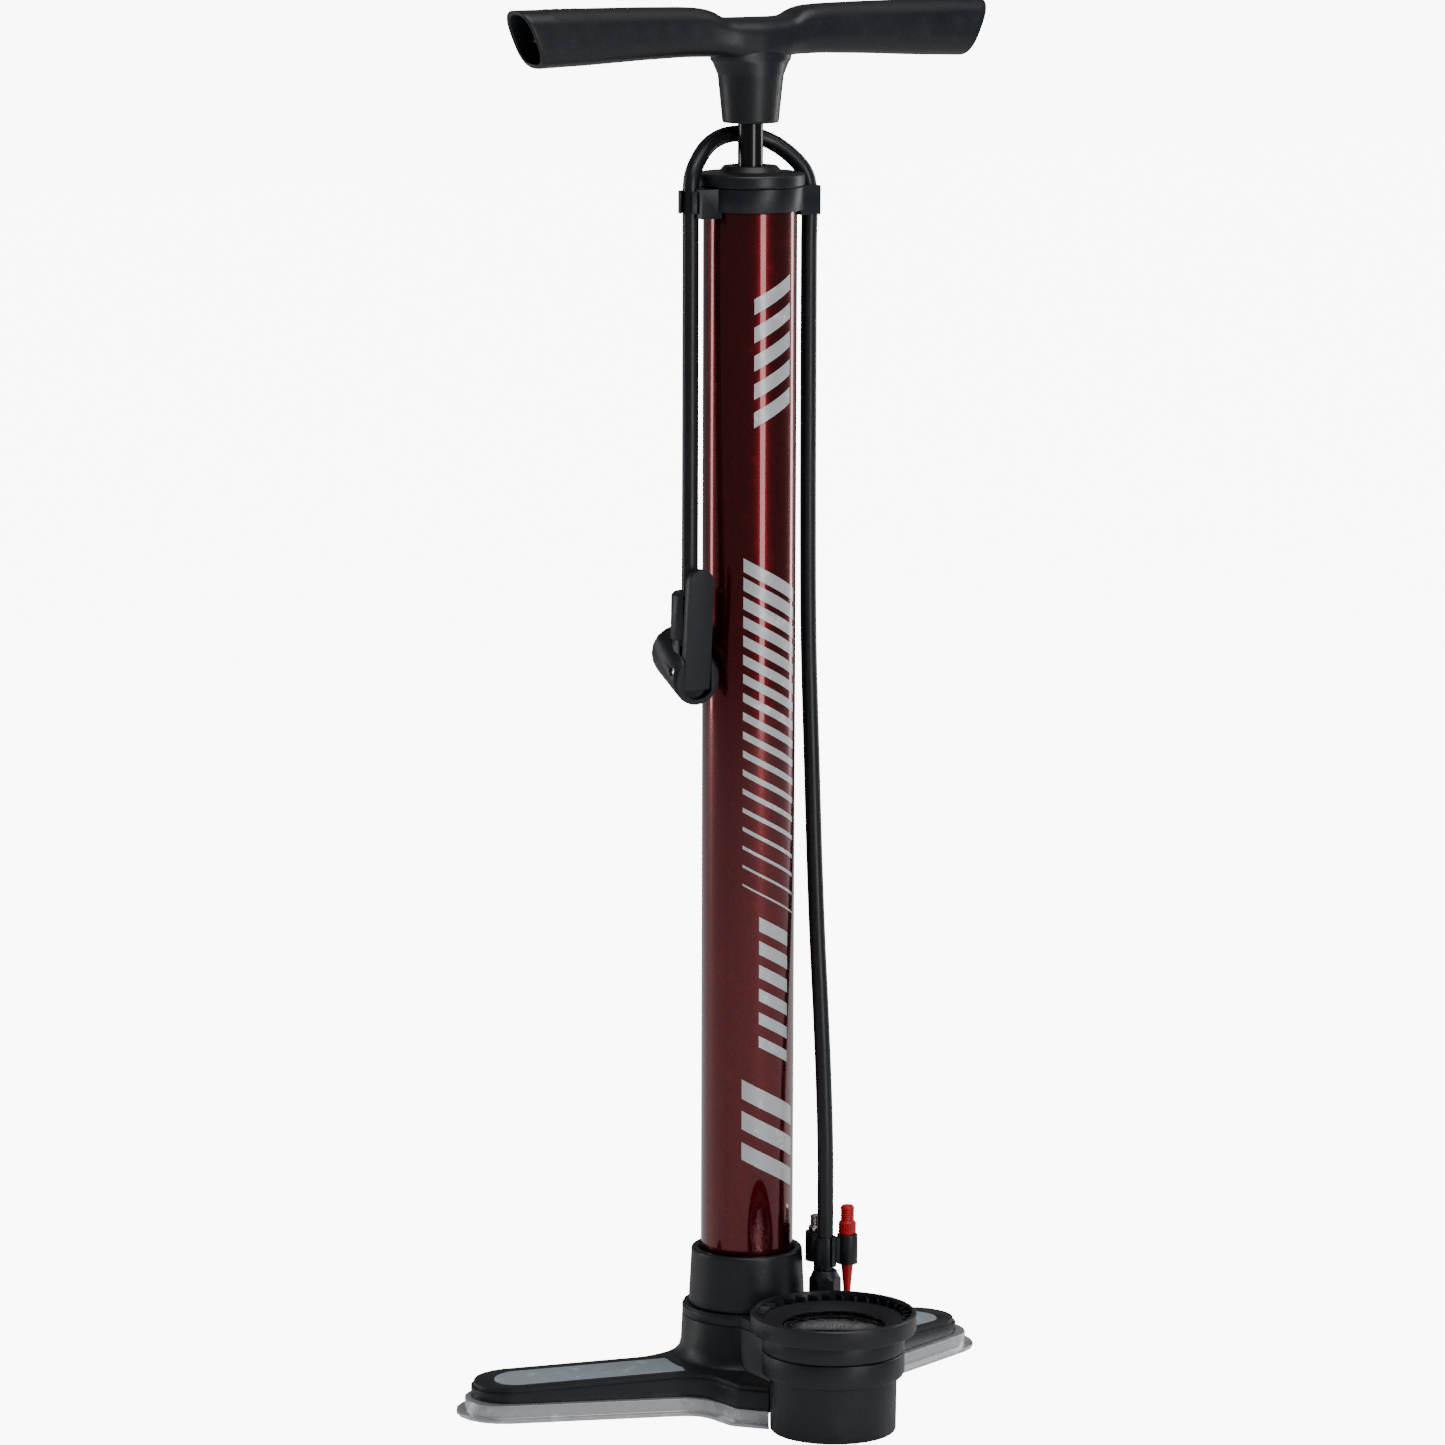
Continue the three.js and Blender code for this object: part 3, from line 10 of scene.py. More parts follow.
import bmesh
import bpy
import numpy as np
from mathutils import Matrix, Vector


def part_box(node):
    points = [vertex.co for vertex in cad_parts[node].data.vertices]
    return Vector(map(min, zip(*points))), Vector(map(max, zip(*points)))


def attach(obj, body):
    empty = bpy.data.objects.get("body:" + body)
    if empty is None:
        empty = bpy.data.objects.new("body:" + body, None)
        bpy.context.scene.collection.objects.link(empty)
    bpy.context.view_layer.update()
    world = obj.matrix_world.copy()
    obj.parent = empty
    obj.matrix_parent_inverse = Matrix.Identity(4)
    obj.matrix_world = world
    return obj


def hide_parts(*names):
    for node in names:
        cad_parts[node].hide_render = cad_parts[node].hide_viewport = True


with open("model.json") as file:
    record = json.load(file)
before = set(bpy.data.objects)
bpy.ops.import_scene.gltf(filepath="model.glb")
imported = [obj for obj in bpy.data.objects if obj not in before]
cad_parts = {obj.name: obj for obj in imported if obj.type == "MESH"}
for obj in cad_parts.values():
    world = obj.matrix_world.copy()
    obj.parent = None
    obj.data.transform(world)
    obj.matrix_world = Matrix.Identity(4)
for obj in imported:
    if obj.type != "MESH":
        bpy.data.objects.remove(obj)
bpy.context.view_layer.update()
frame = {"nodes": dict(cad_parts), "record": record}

MM = 0.001
bodies_in_record = frame["record"]["behaviour"]["bodies"]
BODY_OF = {node: body for body, nodes in bodies_in_record.items() for node in nodes}
SLOT_OF = {part["node"]: part["material_slot"] for part in frame["record"]["subparts"]}

barrel_low, barrel_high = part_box("barrel")
BARREL_AXIS_Y = (barrel_low[1] + barrel_high[1]) / 2 / MM
gauge_low, gauge_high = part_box("gauge_bezel")
GAUGE_Y = (gauge_low[1] + gauge_high[1]) / 2 / MM - BARREL_AXIS_Y

# ---------------------------------------------------------------- camera
CAMERA_PLACE = (-1385.8, -2279.3, 739.5)
CAMERA_TURN = -31.3           # degrees from the gauge side, anticlockwise seen from above
CAMERA_PITCH = 9.46
CAMERA_YAW = 0.24
CAMERA_ROLL = 0.16
CAMERA_LENS = 157.07


def placed(points):
    """Points in millimetres from the barrel's axis, as metres in the frame."""
    return (np.asarray(points, float) + [0, BARREL_AXIS_Y, 0]) * MM


def make_camera():
    """A camera that looks from the front left and a little above, at the whole pump."""
    turn, yaw, pitch, roll = map(radians, (CAMERA_TURN, CAMERA_YAW, CAMERA_PITCH, CAMERA_ROLL))
    forward = np.array([-sin(turn), cos(turn), 0])
    right = np.array([cos(turn), sin(turn), 0])
    level, side = forward * cos(yaw) - right * sin(yaw), right * cos(yaw) + forward * sin(yaw)
    gaze = level * cos(pitch) - np.array([0, 0, sin(pitch)])
    up = np.cross(side, gaze)
    across, upright = side * cos(roll) + up * sin(roll), up * cos(roll) - side * sin(roll)
    data = bpy.data.cameras.new("camera")
    data.lens = CAMERA_LENS
    data.sensor_width = 36
    data.clip_end = 50
    camera = bpy.data.objects.new("camera", data)
    matrix = np.eye(4)
    matrix[:3, 0], matrix[:3, 1], matrix[:3, 2] = across, upright, -gaze
    matrix[:3, 3] = placed([CAMERA_PLACE])[0]
    camera.matrix_world = Matrix(matrix)
    bpy.context.scene.collection.objects.link(camera)
    bpy.context.scene.camera = camera


make_camera()

# ---------------------------------------------------------------- shape tools


def make_piece(name, shells, material, sharp=40):
    """One mesh piece from (points, faces) shells, smooth except at edges sharper than sharp."""
    points, faces, first = [], [], 0
    for shell_points, shell_faces in shells:
        points.append(shell_points)
        faces += [[first + corner for corner in face] for face in shell_faces]
        first += len(shell_points)
    mesh = bpy.data.meshes.new(name)
    mesh.from_pydata(placed(np.concatenate(points)).tolist(), [], faces)
    mesh.polygons.foreach_set("use_smooth", [True] * len(mesh.polygons))
    mesh.set_sharp_from_angle(angle=radians(sharp))
    mesh.materials.append(material)
    piece = bpy.data.objects.new(name, mesh)
    bpy.context.scene.collection.objects.link(piece)
    return piece


def carried(sections, loop=False):
    """A closed cross-section carried along a path.

    sections[i, j] is point j of the cross-section at station i. Neighbouring points and
    stations are joined by four-sided faces. A loop joins its last station to its first, and
    any other surface is closed by the first and last cross-sections.
    """
    sections = np.asarray(sections, float)
    rows, columns = sections.shape[:2]
    i = np.arange(rows if loop else rows - 1)[:, None]
    j = np.arange(columns)[None, :]
    here, after = i * columns, ((i + 1) % rows) * columns
    beside = (j + 1) % columns
    quads = np.stack([here + j, here + beside, after + beside, after + j], -1)
    points = sections.reshape(-1, 3)
    triangles = np.concatenate([quads[..., [0, 1, 2]].reshape(-1, 3),
                                quads[..., [0, 2, 3]].reshape(-1, 3)])
    faces = quads.reshape(-1, 4).tolist()
    if not loop:
        last = (rows - 1) * columns
        start, end = np.arange(columns)[::-1], last + np.arange(columns)
        faces += [start.tolist(), end.tolist()]
        for cap in (start, end):
            fan = [np.full(columns - 2, cap[0]), cap[1:-1], cap[2:]]
            triangles = np.concatenate([triangles, np.stack(fan, -1)])
    a, b, c = (points[triangles[:, k]] for k in range(3))
    if np.einsum("ij,ij->i", a, np.cross(b, c)).sum() < 0:
        faces = [face[::-1] for face in faces]
    return points, faces


def rounded(corners, loop=False, steps=6):
    """A line through (u, v, radius) corners, each replaced by an arc that meets both its sides.

    The arc's points are the quadratic curve from one tangent point to the other, weighted
    as a circle: start*(1-t)^2 + corner*2t(1-t)w + end*t^2, over the sum of the weights.
    """
    corners = np.asarray(corners, float)
    count = len(corners)
    line = []
    for k, (u, v, radius) in enumerate(corners):
        corner = np.array([u, v])
        if radius == 0 or (not loop and k in (0, count - 1)):
            line.append(corner[None])
            continue
        back = corners[k - 1, :2] - corner
        ahead = corners[(k + 1) % count, :2] - corner
        back_length, ahead_length = np.hypot(*back), np.hypot(*ahead)
        back, ahead = back / back_length, ahead / ahead_length
        half = np.arccos(np.clip(back @ ahead, -1, 1)) / 2
        reach = min(radius / max(np.tan(half), 1e-6), 0.49 * back_length, 0.49 * ahead_length)
        t = np.linspace(0, 1, steps)[:, None]
        weight = np.sin(half)
        ends = (corner + back * reach) * (1 - t) ** 2 + (corner + ahead * reach) * t ** 2
        middle = corner * 2 * t * (1 - t) * weight
        line.append((ends + middle) / ((1 - t) ** 2 + t ** 2 + 2 * t * (1 - t) * weight))
    return np.concatenate(line)


def turned(profile, centre=(0, 0), loop=False, segments=96, shape=None):
    """A profile of (radius, height) turned about the upright line through centre.

    Each point is (radius cos a, radius sin a, height) over all angles a, and shape may
    change the radius by angle and height.
    """
    profile = np.asarray(profile, float)
    angle = np.linspace(0, 2 * pi, segments, endpoint=False)[None, :]
    radius, height = profile[:, :1], profile[:, 1:2] + 0 * angle
    radius = radius + 0 * angle if shape is None else shape(radius + 0 * angle, angle, height)
    points = np.stack([centre[0] + radius * np.cos(angle), centre[1] + radius * np.sin(angle),
                       height], -1)
    return carried(points, loop)


def tube(path, radius, sides=20, across=(0, 1, 0)):
    """A round tube: a circle carried along path, square to it, its frame taken from across."""
    path = np.asarray(path, float)
    along = np.gradient(path, axis=0)
    along /= np.linalg.norm(along, axis=1, keepdims=True)
    side = np.array(across, float) - along * (along @ np.array(across, float))[:, None]
    side /= np.linalg.norm(side, axis=1, keepdims=True)
    other = np.cross(along, side)
    angle = np.linspace(0, 2 * pi, sides, endpoint=False)[None, :, None]
    radius = np.broadcast_to(np.asarray(radius, float), len(path))[:, None, None]
    ring = side[:, None] * np.cos(angle) + other[:, None] * np.sin(angle)
    return carried(path[:, None] + radius * ring)


def centripetal(points, per_span=14):
    """The smooth curve through points whose steps are spaced by the root of their distance.

    Each span is Barry and Goldman's pyramid of linear blends over its four nearest points.
    """
    points = np.asarray(points, float)
    points = np.concatenate([2 * points[:1] - points[1:2], points, 2 * points[-1:] - points[-2:-1]])
    curve = []
    for p in (points[k:k + 4] for k in range(len(points) - 3)):
        knots = np.concatenate([[0], np.cumsum(np.linalg.norm(np.diff(p, axis=0), axis=1) ** 0.5)])
        t = np.linspace(knots[1], knots[2], per_span, endpoint=False)[:, None]

        def blend(a, b, low, high):
            return a * (knots[high] - t) / (knots[high] - knots[low]) \
                + b * (t - knots[low]) / (knots[high] - knots[low])

        first = [blend(p[k], p[k + 1], k, k + 1) for k in range(3)]
        second = [blend(first[k], first[k + 1], k, k + 2) for k in range(2)]
        curve.append(blend(second[0], second[1], 1, 2))
    return np.concatenate(curve + [points[-2:-1]])


PRINT_RISE = 0.09             # a print's face above the wall, and its back below it
PRINT_SINK = 0.15


def wrapped(line, radius):
    """A thin print on the barrel: sections[i] = pairs of (arc length, height) across a stroke.

    Arc length s stands at angle s / radius from the gauge side, so a point is
    (r sin a, -r cos a, height), once just outside the wall and once just inside it.
    """
    line = np.asarray(line, float)
    angle = line[..., 0] / radius

    def at(r):
        return np.stack([r * np.sin(angle), -r * np.cos(angle), line[..., 1]], -1)

    outer, inner = at(radius + PRINT_RISE), at(radius - PRINT_SINK)
    return carried(np.stack([outer[:, 0], outer[:, 1], inner[:, 1], inner[:, 0]], 1))


def softened(node, width, material, segments=3, angle=32):
    """A copy of a CAD node with merged corners and its edges rounded to width."""
    mesh = frame["nodes"][node].data.copy()
    mesh.name = node + "_form"
    work = bmesh.new()
    work.from_mesh(mesh)
    bmesh.ops.remove_doubles(work, verts=work.verts, dist=2e-6)
    bmesh.ops.dissolve_limit(work, angle_limit=radians(0.8), verts=work.verts, edges=work.edges)
    work.to_mesh(mesh)
    work.free()
    mesh.polygons.foreach_set("use_smooth", [True] * len(mesh.polygons))
    mesh.materials.clear()
    mesh.materials.append(material)
    piece = bpy.data.objects.new(node + "_form", mesh)
    bpy.context.scene.collection.objects.link(piece)
    bevel = piece.modifiers.new("edges", "BEVEL")
    bevel.width = width * MM
    bevel.segments = segments
    bevel.limit_method = "ANGLE"
    bevel.angle_limit = radians(angle)
    bevel.harden_normals = True
    return piece


def stands_for(piece, node, *others):
    """piece rides on node's body and is shown in place of it and the others."""
    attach(piece, BODY_OF[node])
    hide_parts(node, *others)
    return piece


def joins(piece, node):
    """piece rides with node, which stays or is replaced elsewhere."""
    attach(piece, BODY_OF[node])
    return piece


# ---------------------------------------------------------------- materials


def add_node(tree, kind, values=None, **settings):
    """A node of that kind, with settings for its properties and values for its inputs."""
    node = tree.nodes.new("ShaderNode" + kind)
    for key, value in settings.items():
        setattr(node, key, value)
    for key, value in (values or {}).items():
        node.inputs[key].default_value = value
    return node


def make_group(name, inputs, outputs):
    """An empty node group with float or vector inputs and float or colour outputs."""
    tree = bpy.data.node_groups.new(name, "ShaderNodeTree")
    for label, kind, value in inputs:
        socket = tree.interface.new_socket(label, in_out="INPUT", socket_type="NodeSocket" + kind)
        if value is not None:
            socket.default_value = value
    for label, kind in outputs:
        tree.interface.new_socket(label, in_out="OUTPUT", socket_type="NodeSocket" + kind)
    return tree, tree.nodes.new("NodeGroupInput"), tree.nodes.new("NodeGroupOutput")


def build_grain():
    """Moulded or painted grain: fine bumps, and wide soft patches from handling."""
    tree, start, end = make_group(
        "Grain", [("Vector", "Vector", None), ("Size", "Float", 1.0), ("Stretch", "Vector", (1, 1, 1))],
        [("Height", "Float"), ("Patches", "Float"), ("Rub", "Float")])
    link = tree.links.new
    scaled = add_node(tree, "VectorMath", operation="MULTIPLY")
    link(start.outputs["Vector"], scaled.inputs[0])
    link(start.outputs["Stretch"], scaled.inputs[1])
    frequency = add_node(tree, "Math", {0: 1000.0}, operation="DIVIDE")
    link(start.outputs["Size"], frequency.inputs[1])
    fine = add_node(tree, "TexNoise", {"Detail": 3.0, "Roughness": 0.6})
    link(scaled.outputs[0], fine.inputs["Vector"])
    link(frequency.outputs[0], fine.inputs["Scale"])
    wide = add_node(tree, "TexNoise", {"Scale": 22.0, "Detail": 4.0, "Roughness": 0.55})
    link(start.outputs["Vector"], wide.inputs["Vector"])
    rub = add_node(tree, "TexNoise", {"Scale": 130.0, "Detail": 5.0, "Roughness": 0.7})
    link(scaled.outputs[0], rub.inputs["Vector"])
    link(fine.outputs["Fac"], end.inputs["Height"])
    link(wide.outputs["Fac"], end.inputs["Patches"])
    link(rub.outputs["Fac"], end.inputs["Rub"])
    return tree


def build_flakes():
    """Metal flakes in paint: small cells, each with its own brightness and tilt."""
    tree, start, end = make_group(
        "Flakes", [("Vector", "Vector", None), ("Size", "Float", 0.25)],
        [("Sparkle", "Float"), ("Tilt", "Float")])
    link = tree.links.new
    frequency = add_node(tree, "Math", {0: 1000.0}, operation="DIVIDE")
    link(start.outputs["Size"], frequency.inputs[1])
    cells = add_node(tree, "TexVoronoi", feature="F1")
    link(start.outputs["Vector"], cells.inputs["Vector"])
    link(frequency.outputs[0], cells.inputs["Scale"])
    parts = add_node(tree, "SeparateColor")
    link(cells.outputs["Color"], parts.inputs[0])
    bright = add_node(tree, "Math", {1: 5.0}, operation="POWER")
    link(parts.outputs[0], bright.inputs[0])
    link(bright.outputs[0], end.inputs["Sparkle"])
    link(parts.outputs[1], end.inputs["Tilt"])
    return tree


GRAIN = build_grain()
FLAKES = build_flakes()


def linear(color):
    """An sRGB colour of 0 to 255 as linear light, by the 2.4 power law and its offset."""
    c = np.array(color, float) / 255
    return [*np.where(c <= 0.04045, c / 12.92, ((c + 0.055) / 1.055) ** 2.4), 1.0]


def finish(name, color, roughness, grain, depth, spread=0.07, shade=0.14, stretch=(1, 1, 1),
           worn=None, **constants):
    """A finish whose colour, roughness and bumps vary over the surface.

    grain is the bump size in mm and depth its height in mm. The colour runs from shade
    darker to shade lighter over wide patches, towards worn in rubbed spots.
    """
    material = bpy.data.materials.new(name)
    material.use_nodes = True
    tree = material.node_tree
    link = tree.links.new
    shader = tree.nodes["Principled BSDF"]
    place = add_node(tree, "TexCoord")
    surface = add_node(tree, "Group", node_tree=GRAIN)
    surface.inputs["Size"].default_value = grain
    surface.inputs["Stretch"].default_value = stretch
    link(place.outputs["Object"], surface.inputs["Vector"])

    base = np.array(linear(color))
    dark, light = base * (1 - shade), np.minimum(base * (1 + shade) + 0.0008, 1)
    tones = add_node(tree, "ValToRGB")
    tones.color_ramp.elements[0].position = 0.32
    tones.color_ramp.elements[0].color = [*dark[:3], 1]
    tones.color_ramp.elements[1].position = 0.68
    tones.color_ramp.elements[1].color = [*light[:3], 1]
    link(surface.outputs["Patches"], tones.inputs[0])
    rubbed = add_node(tree, "MapRange", {"From Min": 0.56, "From Max": 0.72})
    link(surface.outputs["Rub"], rubbed.inputs["Value"])
    mixed = add_node(tree, "Mix", data_type="RGBA")
    mixed.inputs[7].default_value = linear(worn or [min(c * 1.25 + 3, 255) for c in color])
    link(rubbed.outputs[0], mixed.inputs[0])
    link(tones.outputs[0], mixed.inputs[6])
    link(mixed.outputs[2], shader.inputs["Base Color"])

    gloss = add_node(tree, "MapRange", {"From Min": 0.3, "From Max": 0.7,
                                        "To Min": max(roughness - spread, 0.02),
                                        "To Max": roughness + spread})
    link(surface.outputs["Rub"], gloss.inputs["Value"])
    link(gloss.outputs[0], shader.inputs["Roughness"])
    bump = add_node(tree, "Bump", {"Strength": 0.6, "Distance": depth * MM})
    link(surface.outputs["Height"], bump.inputs["Height"])
    link(bump.outputs[0], shader.inputs["Normal"])
    for key, value in constants.items():
        shader.inputs[key.replace("_", " ")].default_value = value
    return material


def make_barrel_paint():
    """Dark red metallic under a clear coat: flakes brighten the red."""
    material = finish("barrel_paint", (92, 1, 9), 0.26, 2.2, 0.003, 0.05, 0.05,
                      Metallic=0.9, Coat_Weight=1.0, Coat_Roughness=0.03)
    tree = material.node_tree
    link = tree.links.new
    shader = tree.nodes["Principled BSDF"]
    place = add_node(tree, "TexCoord")
    flakes = add_node(tree, "Group", node_tree=FLAKES)
    flakes.inputs["Size"].default_value = 0.14
    link(place.outputs["Object"], flakes.inputs["Vector"])
    below = shader.inputs["Base Color"].links[0].from_socket
    bright = add_node(tree, "Mix", data_type="RGBA")
    bright.inputs[7].default_value = linear((138, 14, 26))
    link(flakes.outputs["Sparkle"], bright.inputs[0])
    link(below, bright.inputs[6])
    link(bright.outputs[2], shader.inputs["Base Color"])
    return material


PLASTIC = finish("black_plastic", (21, 26, 33), 0.4, 0.5, 0.03, 0.06, 0.12, Specular_IOR_Level=0.5)
GRIP = finish("grip_rubber", (19, 23, 29), 0.6, 0.34, 0.05, 0.06, 0.12)
HOSE = finish("hose_rubber", (19, 24, 30), 0.36, 0.7, 0.02, 0.06, 0.1)
SEAL = finish("seal_rubber", (24, 24, 26), 0.7, 0.5, 0.03)
DARK_PLASTIC = finish("piston_plastic", (30, 32, 35), 0.5, 0.6, 0.02)
SILVER_PLATE = finish("base_steel", (214, 217, 221), 0.3, 0.9, 0.003, 0.04, 0.02, Metallic=0.8)
PAD = finish("step_pad", (160, 172, 180), 0.42, 0.45, 0.04, 0.07, 0.05)
CHROME = finish("bright_steel", (205, 208, 212), 0.14, 0.5, 0.004, 0.05, 0.04,
                stretch=(1, 1, 0.08), Metallic=1.0)
STEEL = finish("plain_steel", (165, 168, 173), 0.32, 0.4, 0.006, stretch=(1, 1, 0.1), Metallic=1.0)
ROD = finish("rod_black", (6, 6, 8), 0.24, 0.6, 0.003, 0.04, 0.1, stretch=(1, 1, 0.05),
             Coat_Weight=0.2, Coat_Roughness=0.1)
RED = finish("red_plastic", (205, 22, 26), 0.34, 0.6, 0.015, 0.06, 0.05)
BRASS = finish("brass", (186, 150, 92), 0.28, 0.4, 0.006, Metallic=1.0)
DIAL = finish("dial_white", (228, 230, 230), 0.4, 0.5, 0.004, 0.05, 0.02)
INK = finish("dial_ink", (22, 22, 24), 0.45, 0.4, 0.003)
PRINT = finish("silver_print", (203, 207, 211), 0.36, 0.3, 0.006, 0.06, 0.03, Metallic=0.15,
               Coat_Weight=0.6, Coat_Roughness=0.06)
GLASS = finish("gauge_glass", (244, 247, 248), 0.03, 3.0, 0.001, 0.015, 0.01,
               Transmission_Weight=1.0, IOR=1.47)
BARREL_PAINT = make_barrel_paint()

BY_SLOT = {
    "black_plastic": PLASTIC, "grip_rubber": GRIP, "piston_plastic": DARK_PLASTIC,
    "base_steel": SILVER_PLATE, "step_pad": PAD, "bright_steel": CHROME, "plain_steel": STEEL,
    "barrel_paint": BARREL_PAINT, "rod_black": ROD, "seal_rubber": SEAL, "hose_rubber": HOSE,
    "red_plastic": RED, "brass": BRASS, "dial_white": DIAL, "gauge_glass": GLASS,
}
for node_name, node in frame["nodes"].items():
    for material_slot in node.material_slots:
        material_slot.link = "OBJECT"
        material_slot.material = BY_SLOT[SLOT_OF[node_name]]

# ---------------------------------------------------------------- hose
HOSE_RADIUS = 3.5
HOSE_POINTS = [
    (24, -26, 50), (24, -26, 62), (24, -26, 85), (24.2, -25.4, 110), (24.6, -23, 140),
    (25.1, -19.6, 170), (25.8, -15.5, 200), (26.6, -11.8, 230), (27.6, -7, 280),
    (28.4, -2.8, 330), (28.7, -1.4, 380), (28.8, -1, 440), (28.8, -0.9, 500),
    (28.8, -0.9, 521.5), (27.5, 0.4, 529.8), (22.1, 3.9, 537.3), (14.4, 7.8, 543.1),
    (5, 10.5, 546.2), (-5, 10.8, 546.2), (-14.4, 8.7, 543.1), (-22.1, 5.2, 537.3),
    (-27.5, 2.1, 529.8), (-28.8, 0.9, 521.5), (-28.8, 0.9, 500), (-29.3, 0.1, 455),
    (-30.5, -1.9, 410), (-31.8, -4, 372), (-32, -4.3, 360), (-32, -4.3, 348.5),
]
hose_path = centripetal(HOSE_POINTS)
hose = make_piece("hose_line", [tube(hose_path, HOSE_RADIUS, 24)], HOSE)
stands_for(hose, "hose")

# ---------------------------------------------------------------- barrel and its print
BARREL_RADIUS = 20
BARREL_BORE = 18.8
barrel = turned(rounded([
    (BARREL_RADIUS, 22.6, 0.3), (BARREL_RADIUS, 523.6, 0.3), (BARREL_BORE, 523.6, 0.3),
    (BARREL_BORE, 22.6, 0.3),
], True, 3), loop=True, segments=128)
stands_for(make_piece("barrel_tube", [barrel], BARREL_PAINT), "barrel")

STRIPES = 18
STRIPE_TOP = 369
STRIPE_PITCH = 8.26
STRIPE_HEIGHT = 5.9
STRIPE_SLOPE = 0.55
PRINT_HALF_ANGLE = radians(38)
BADGE_HALF = 9                # five rising bars near the top of the barrel
BADGE_TOP = 479
BADGE_PITCH = 12
BADGE_HEIGHT = 6.6


def stripe(order):
    """A slanted band round the front: its lower edge falls with arc length, thinner by order."""
    half = BARREL_RADIUS * PRINT_HALF_ANGLE
    s = np.linspace(-half, half, 28)
    top = STRIPE_TOP - order * STRIPE_PITCH - STRIPE_SLOPE * (s + half)
    height = STRIPE_HEIGHT * (1 - order * 0.05)
    return wrapped(np.stack([np.stack([s, top], -1), np.stack([s, top - height], -1)], 1),
                   BARREL_RADIUS)


def bar_mark(left, right, top, height, slope):
    """A plain bar printed on the barrel, whose edges fall by slope per unit of arc."""
    s = np.linspace(left, right, 12)
    edge = top - slope * (s - left)
    return wrapped(np.stack([np.stack([s, edge], -1), np.stack([s, edge - height], -1)], 1),
                   BARREL_RADIUS)


badge = [bar_mark(-BADGE_HALF, BADGE_HALF, BADGE_TOP - BADGE_PITCH * k, BADGE_HEIGHT, -STRIPE_SLOPE)
         for k in range(5)]
panels = [bar_mark(-6, 9.1, 213.9 - 10.4 * k, 6.2 - 0.25 * k, STRIPE_SLOPE) for k in range(6)]
panels += [bar_mark(-13.3, 13.3, 142.9 - 13.8 * k, 8.5 - 0.4 * k, STRIPE_SLOPE) for k in range(3)]
joins(make_piece("barrel_stripes", [stripe(k) for k in range(STRIPES)], PRINT), "base_plate")
joins(make_piece("barrel_badge", badge, PRINT), "base_plate")
joins(make_piece("barrel_panels", panels, PRINT), "base_plate")

# ---------------------------------------------------------------- collar, cap and rod
collar = turned(rounded([
    (20.35, 40.2, 0), (25.2, 40.2, 0.4), (25.1, 44, 2), (24.2, 61.6, 3), (24.1, 64.7, 1.3),
    (21.3, 64.7, 0.5), (20.35, 63.4, 0.3),
], True), loop=True, segments=128)
stands_for(make_piece("collar_turned", [collar], PLASTIC), "barrel_collar")

cap_top = turned(rounded([
    (5.75, 525.4, 0.2), (22.6, 525.4, 0.3), (23.2, 526, 0.3), (23.2, 530.9, 1.6),
    (13.6, 531.2, 1.6), (11.4, 533.9, 0.7), (8.8, 533.9, 0.3), (8.8, 532.6, 0.2),
    (5.75, 532.6, 0.2),
], True), loop=True, segments=128)
stands_for(make_piece("cap_crown", [cap_top], PLASTIC), "cap_top")

rod = turned(rounded([
    (0.5, 23.8, 0), (3.1, 23.8, 0.3), (3.7, 24.6, 0.3), (3.7, 51.8, 0.2), (5.4, 51.8, 0.4),
    (5.4, 586, 0.3), (0.5, 586, 0),
]), segments=64)
stands_for(make_piece("rod_turned", [rod], ROD), "piston_rod")

# ---------------------------------------------------------------- handle
HANDLE_HALF = 114.6
GRIP_WALL = 2.0
# half span, underside, top, depth, lean of the end per unit of height
GRIP_STATIONS = np.array([
    (0, 576, 596.4, 27.5, 0), (12, 578, 596.4, 25.4, 0), (17, 579.8, 597, 23.2, 0),
    (21, 580.1, 599.6, 22, 0), (26, 580.2, 600.8, 21.2, 0), (34, 580.3, 601.2, 20.6, 0),
    (54, 579.6, 601.6, 20.5, 0),
    (84, 578.2, 601.8, 21.3, 0.1), (114.6, 577.4, 601.8, 22, 0.42),
])
SECTION_POWER = 0.74


def grip_measures(x):
    """Underside, top, depth and lean at each half span, smoothed between their stations."""
    reach = np.linspace(-2, 2, 9)
    rows = [np.interp(np.abs(x[:, None] + reach), GRIP_STATIONS[:, 0], column).mean(1)
            for column in GRIP_STATIONS[:, 1:].T]
    rows[3] = np.interp(np.abs(x), GRIP_STATIONS[:, 0], GRIP_STATIONS[:, 4])
    return rows


def grip_section(x, inset, angle, swell=0.0):
    """A soft oval upright section, inset from the skin, whose ends lean with height."""
    low, high, depth, lean = (row[:, None] for row in grip_measures(x))
    inset = np.broadcast_to(inset, len(x))[:, None]
    c, s = np.cos(angle)[None], np.sin(angle)[None]
    y = (depth / 2 - inset + swell) * np.sign(c) * np.abs(c) ** SECTION_POWER
    z = (low + high) / 2 + ((high - low) / 2 - inset + swell) * np.sign(s) * np.abs(s) ** SECTION_POWER
    leaning = x[:, None] - np.sign(x)[:, None] * lean * (high - z)
    return np.stack([leaning + 0 * y, y, z], -1)


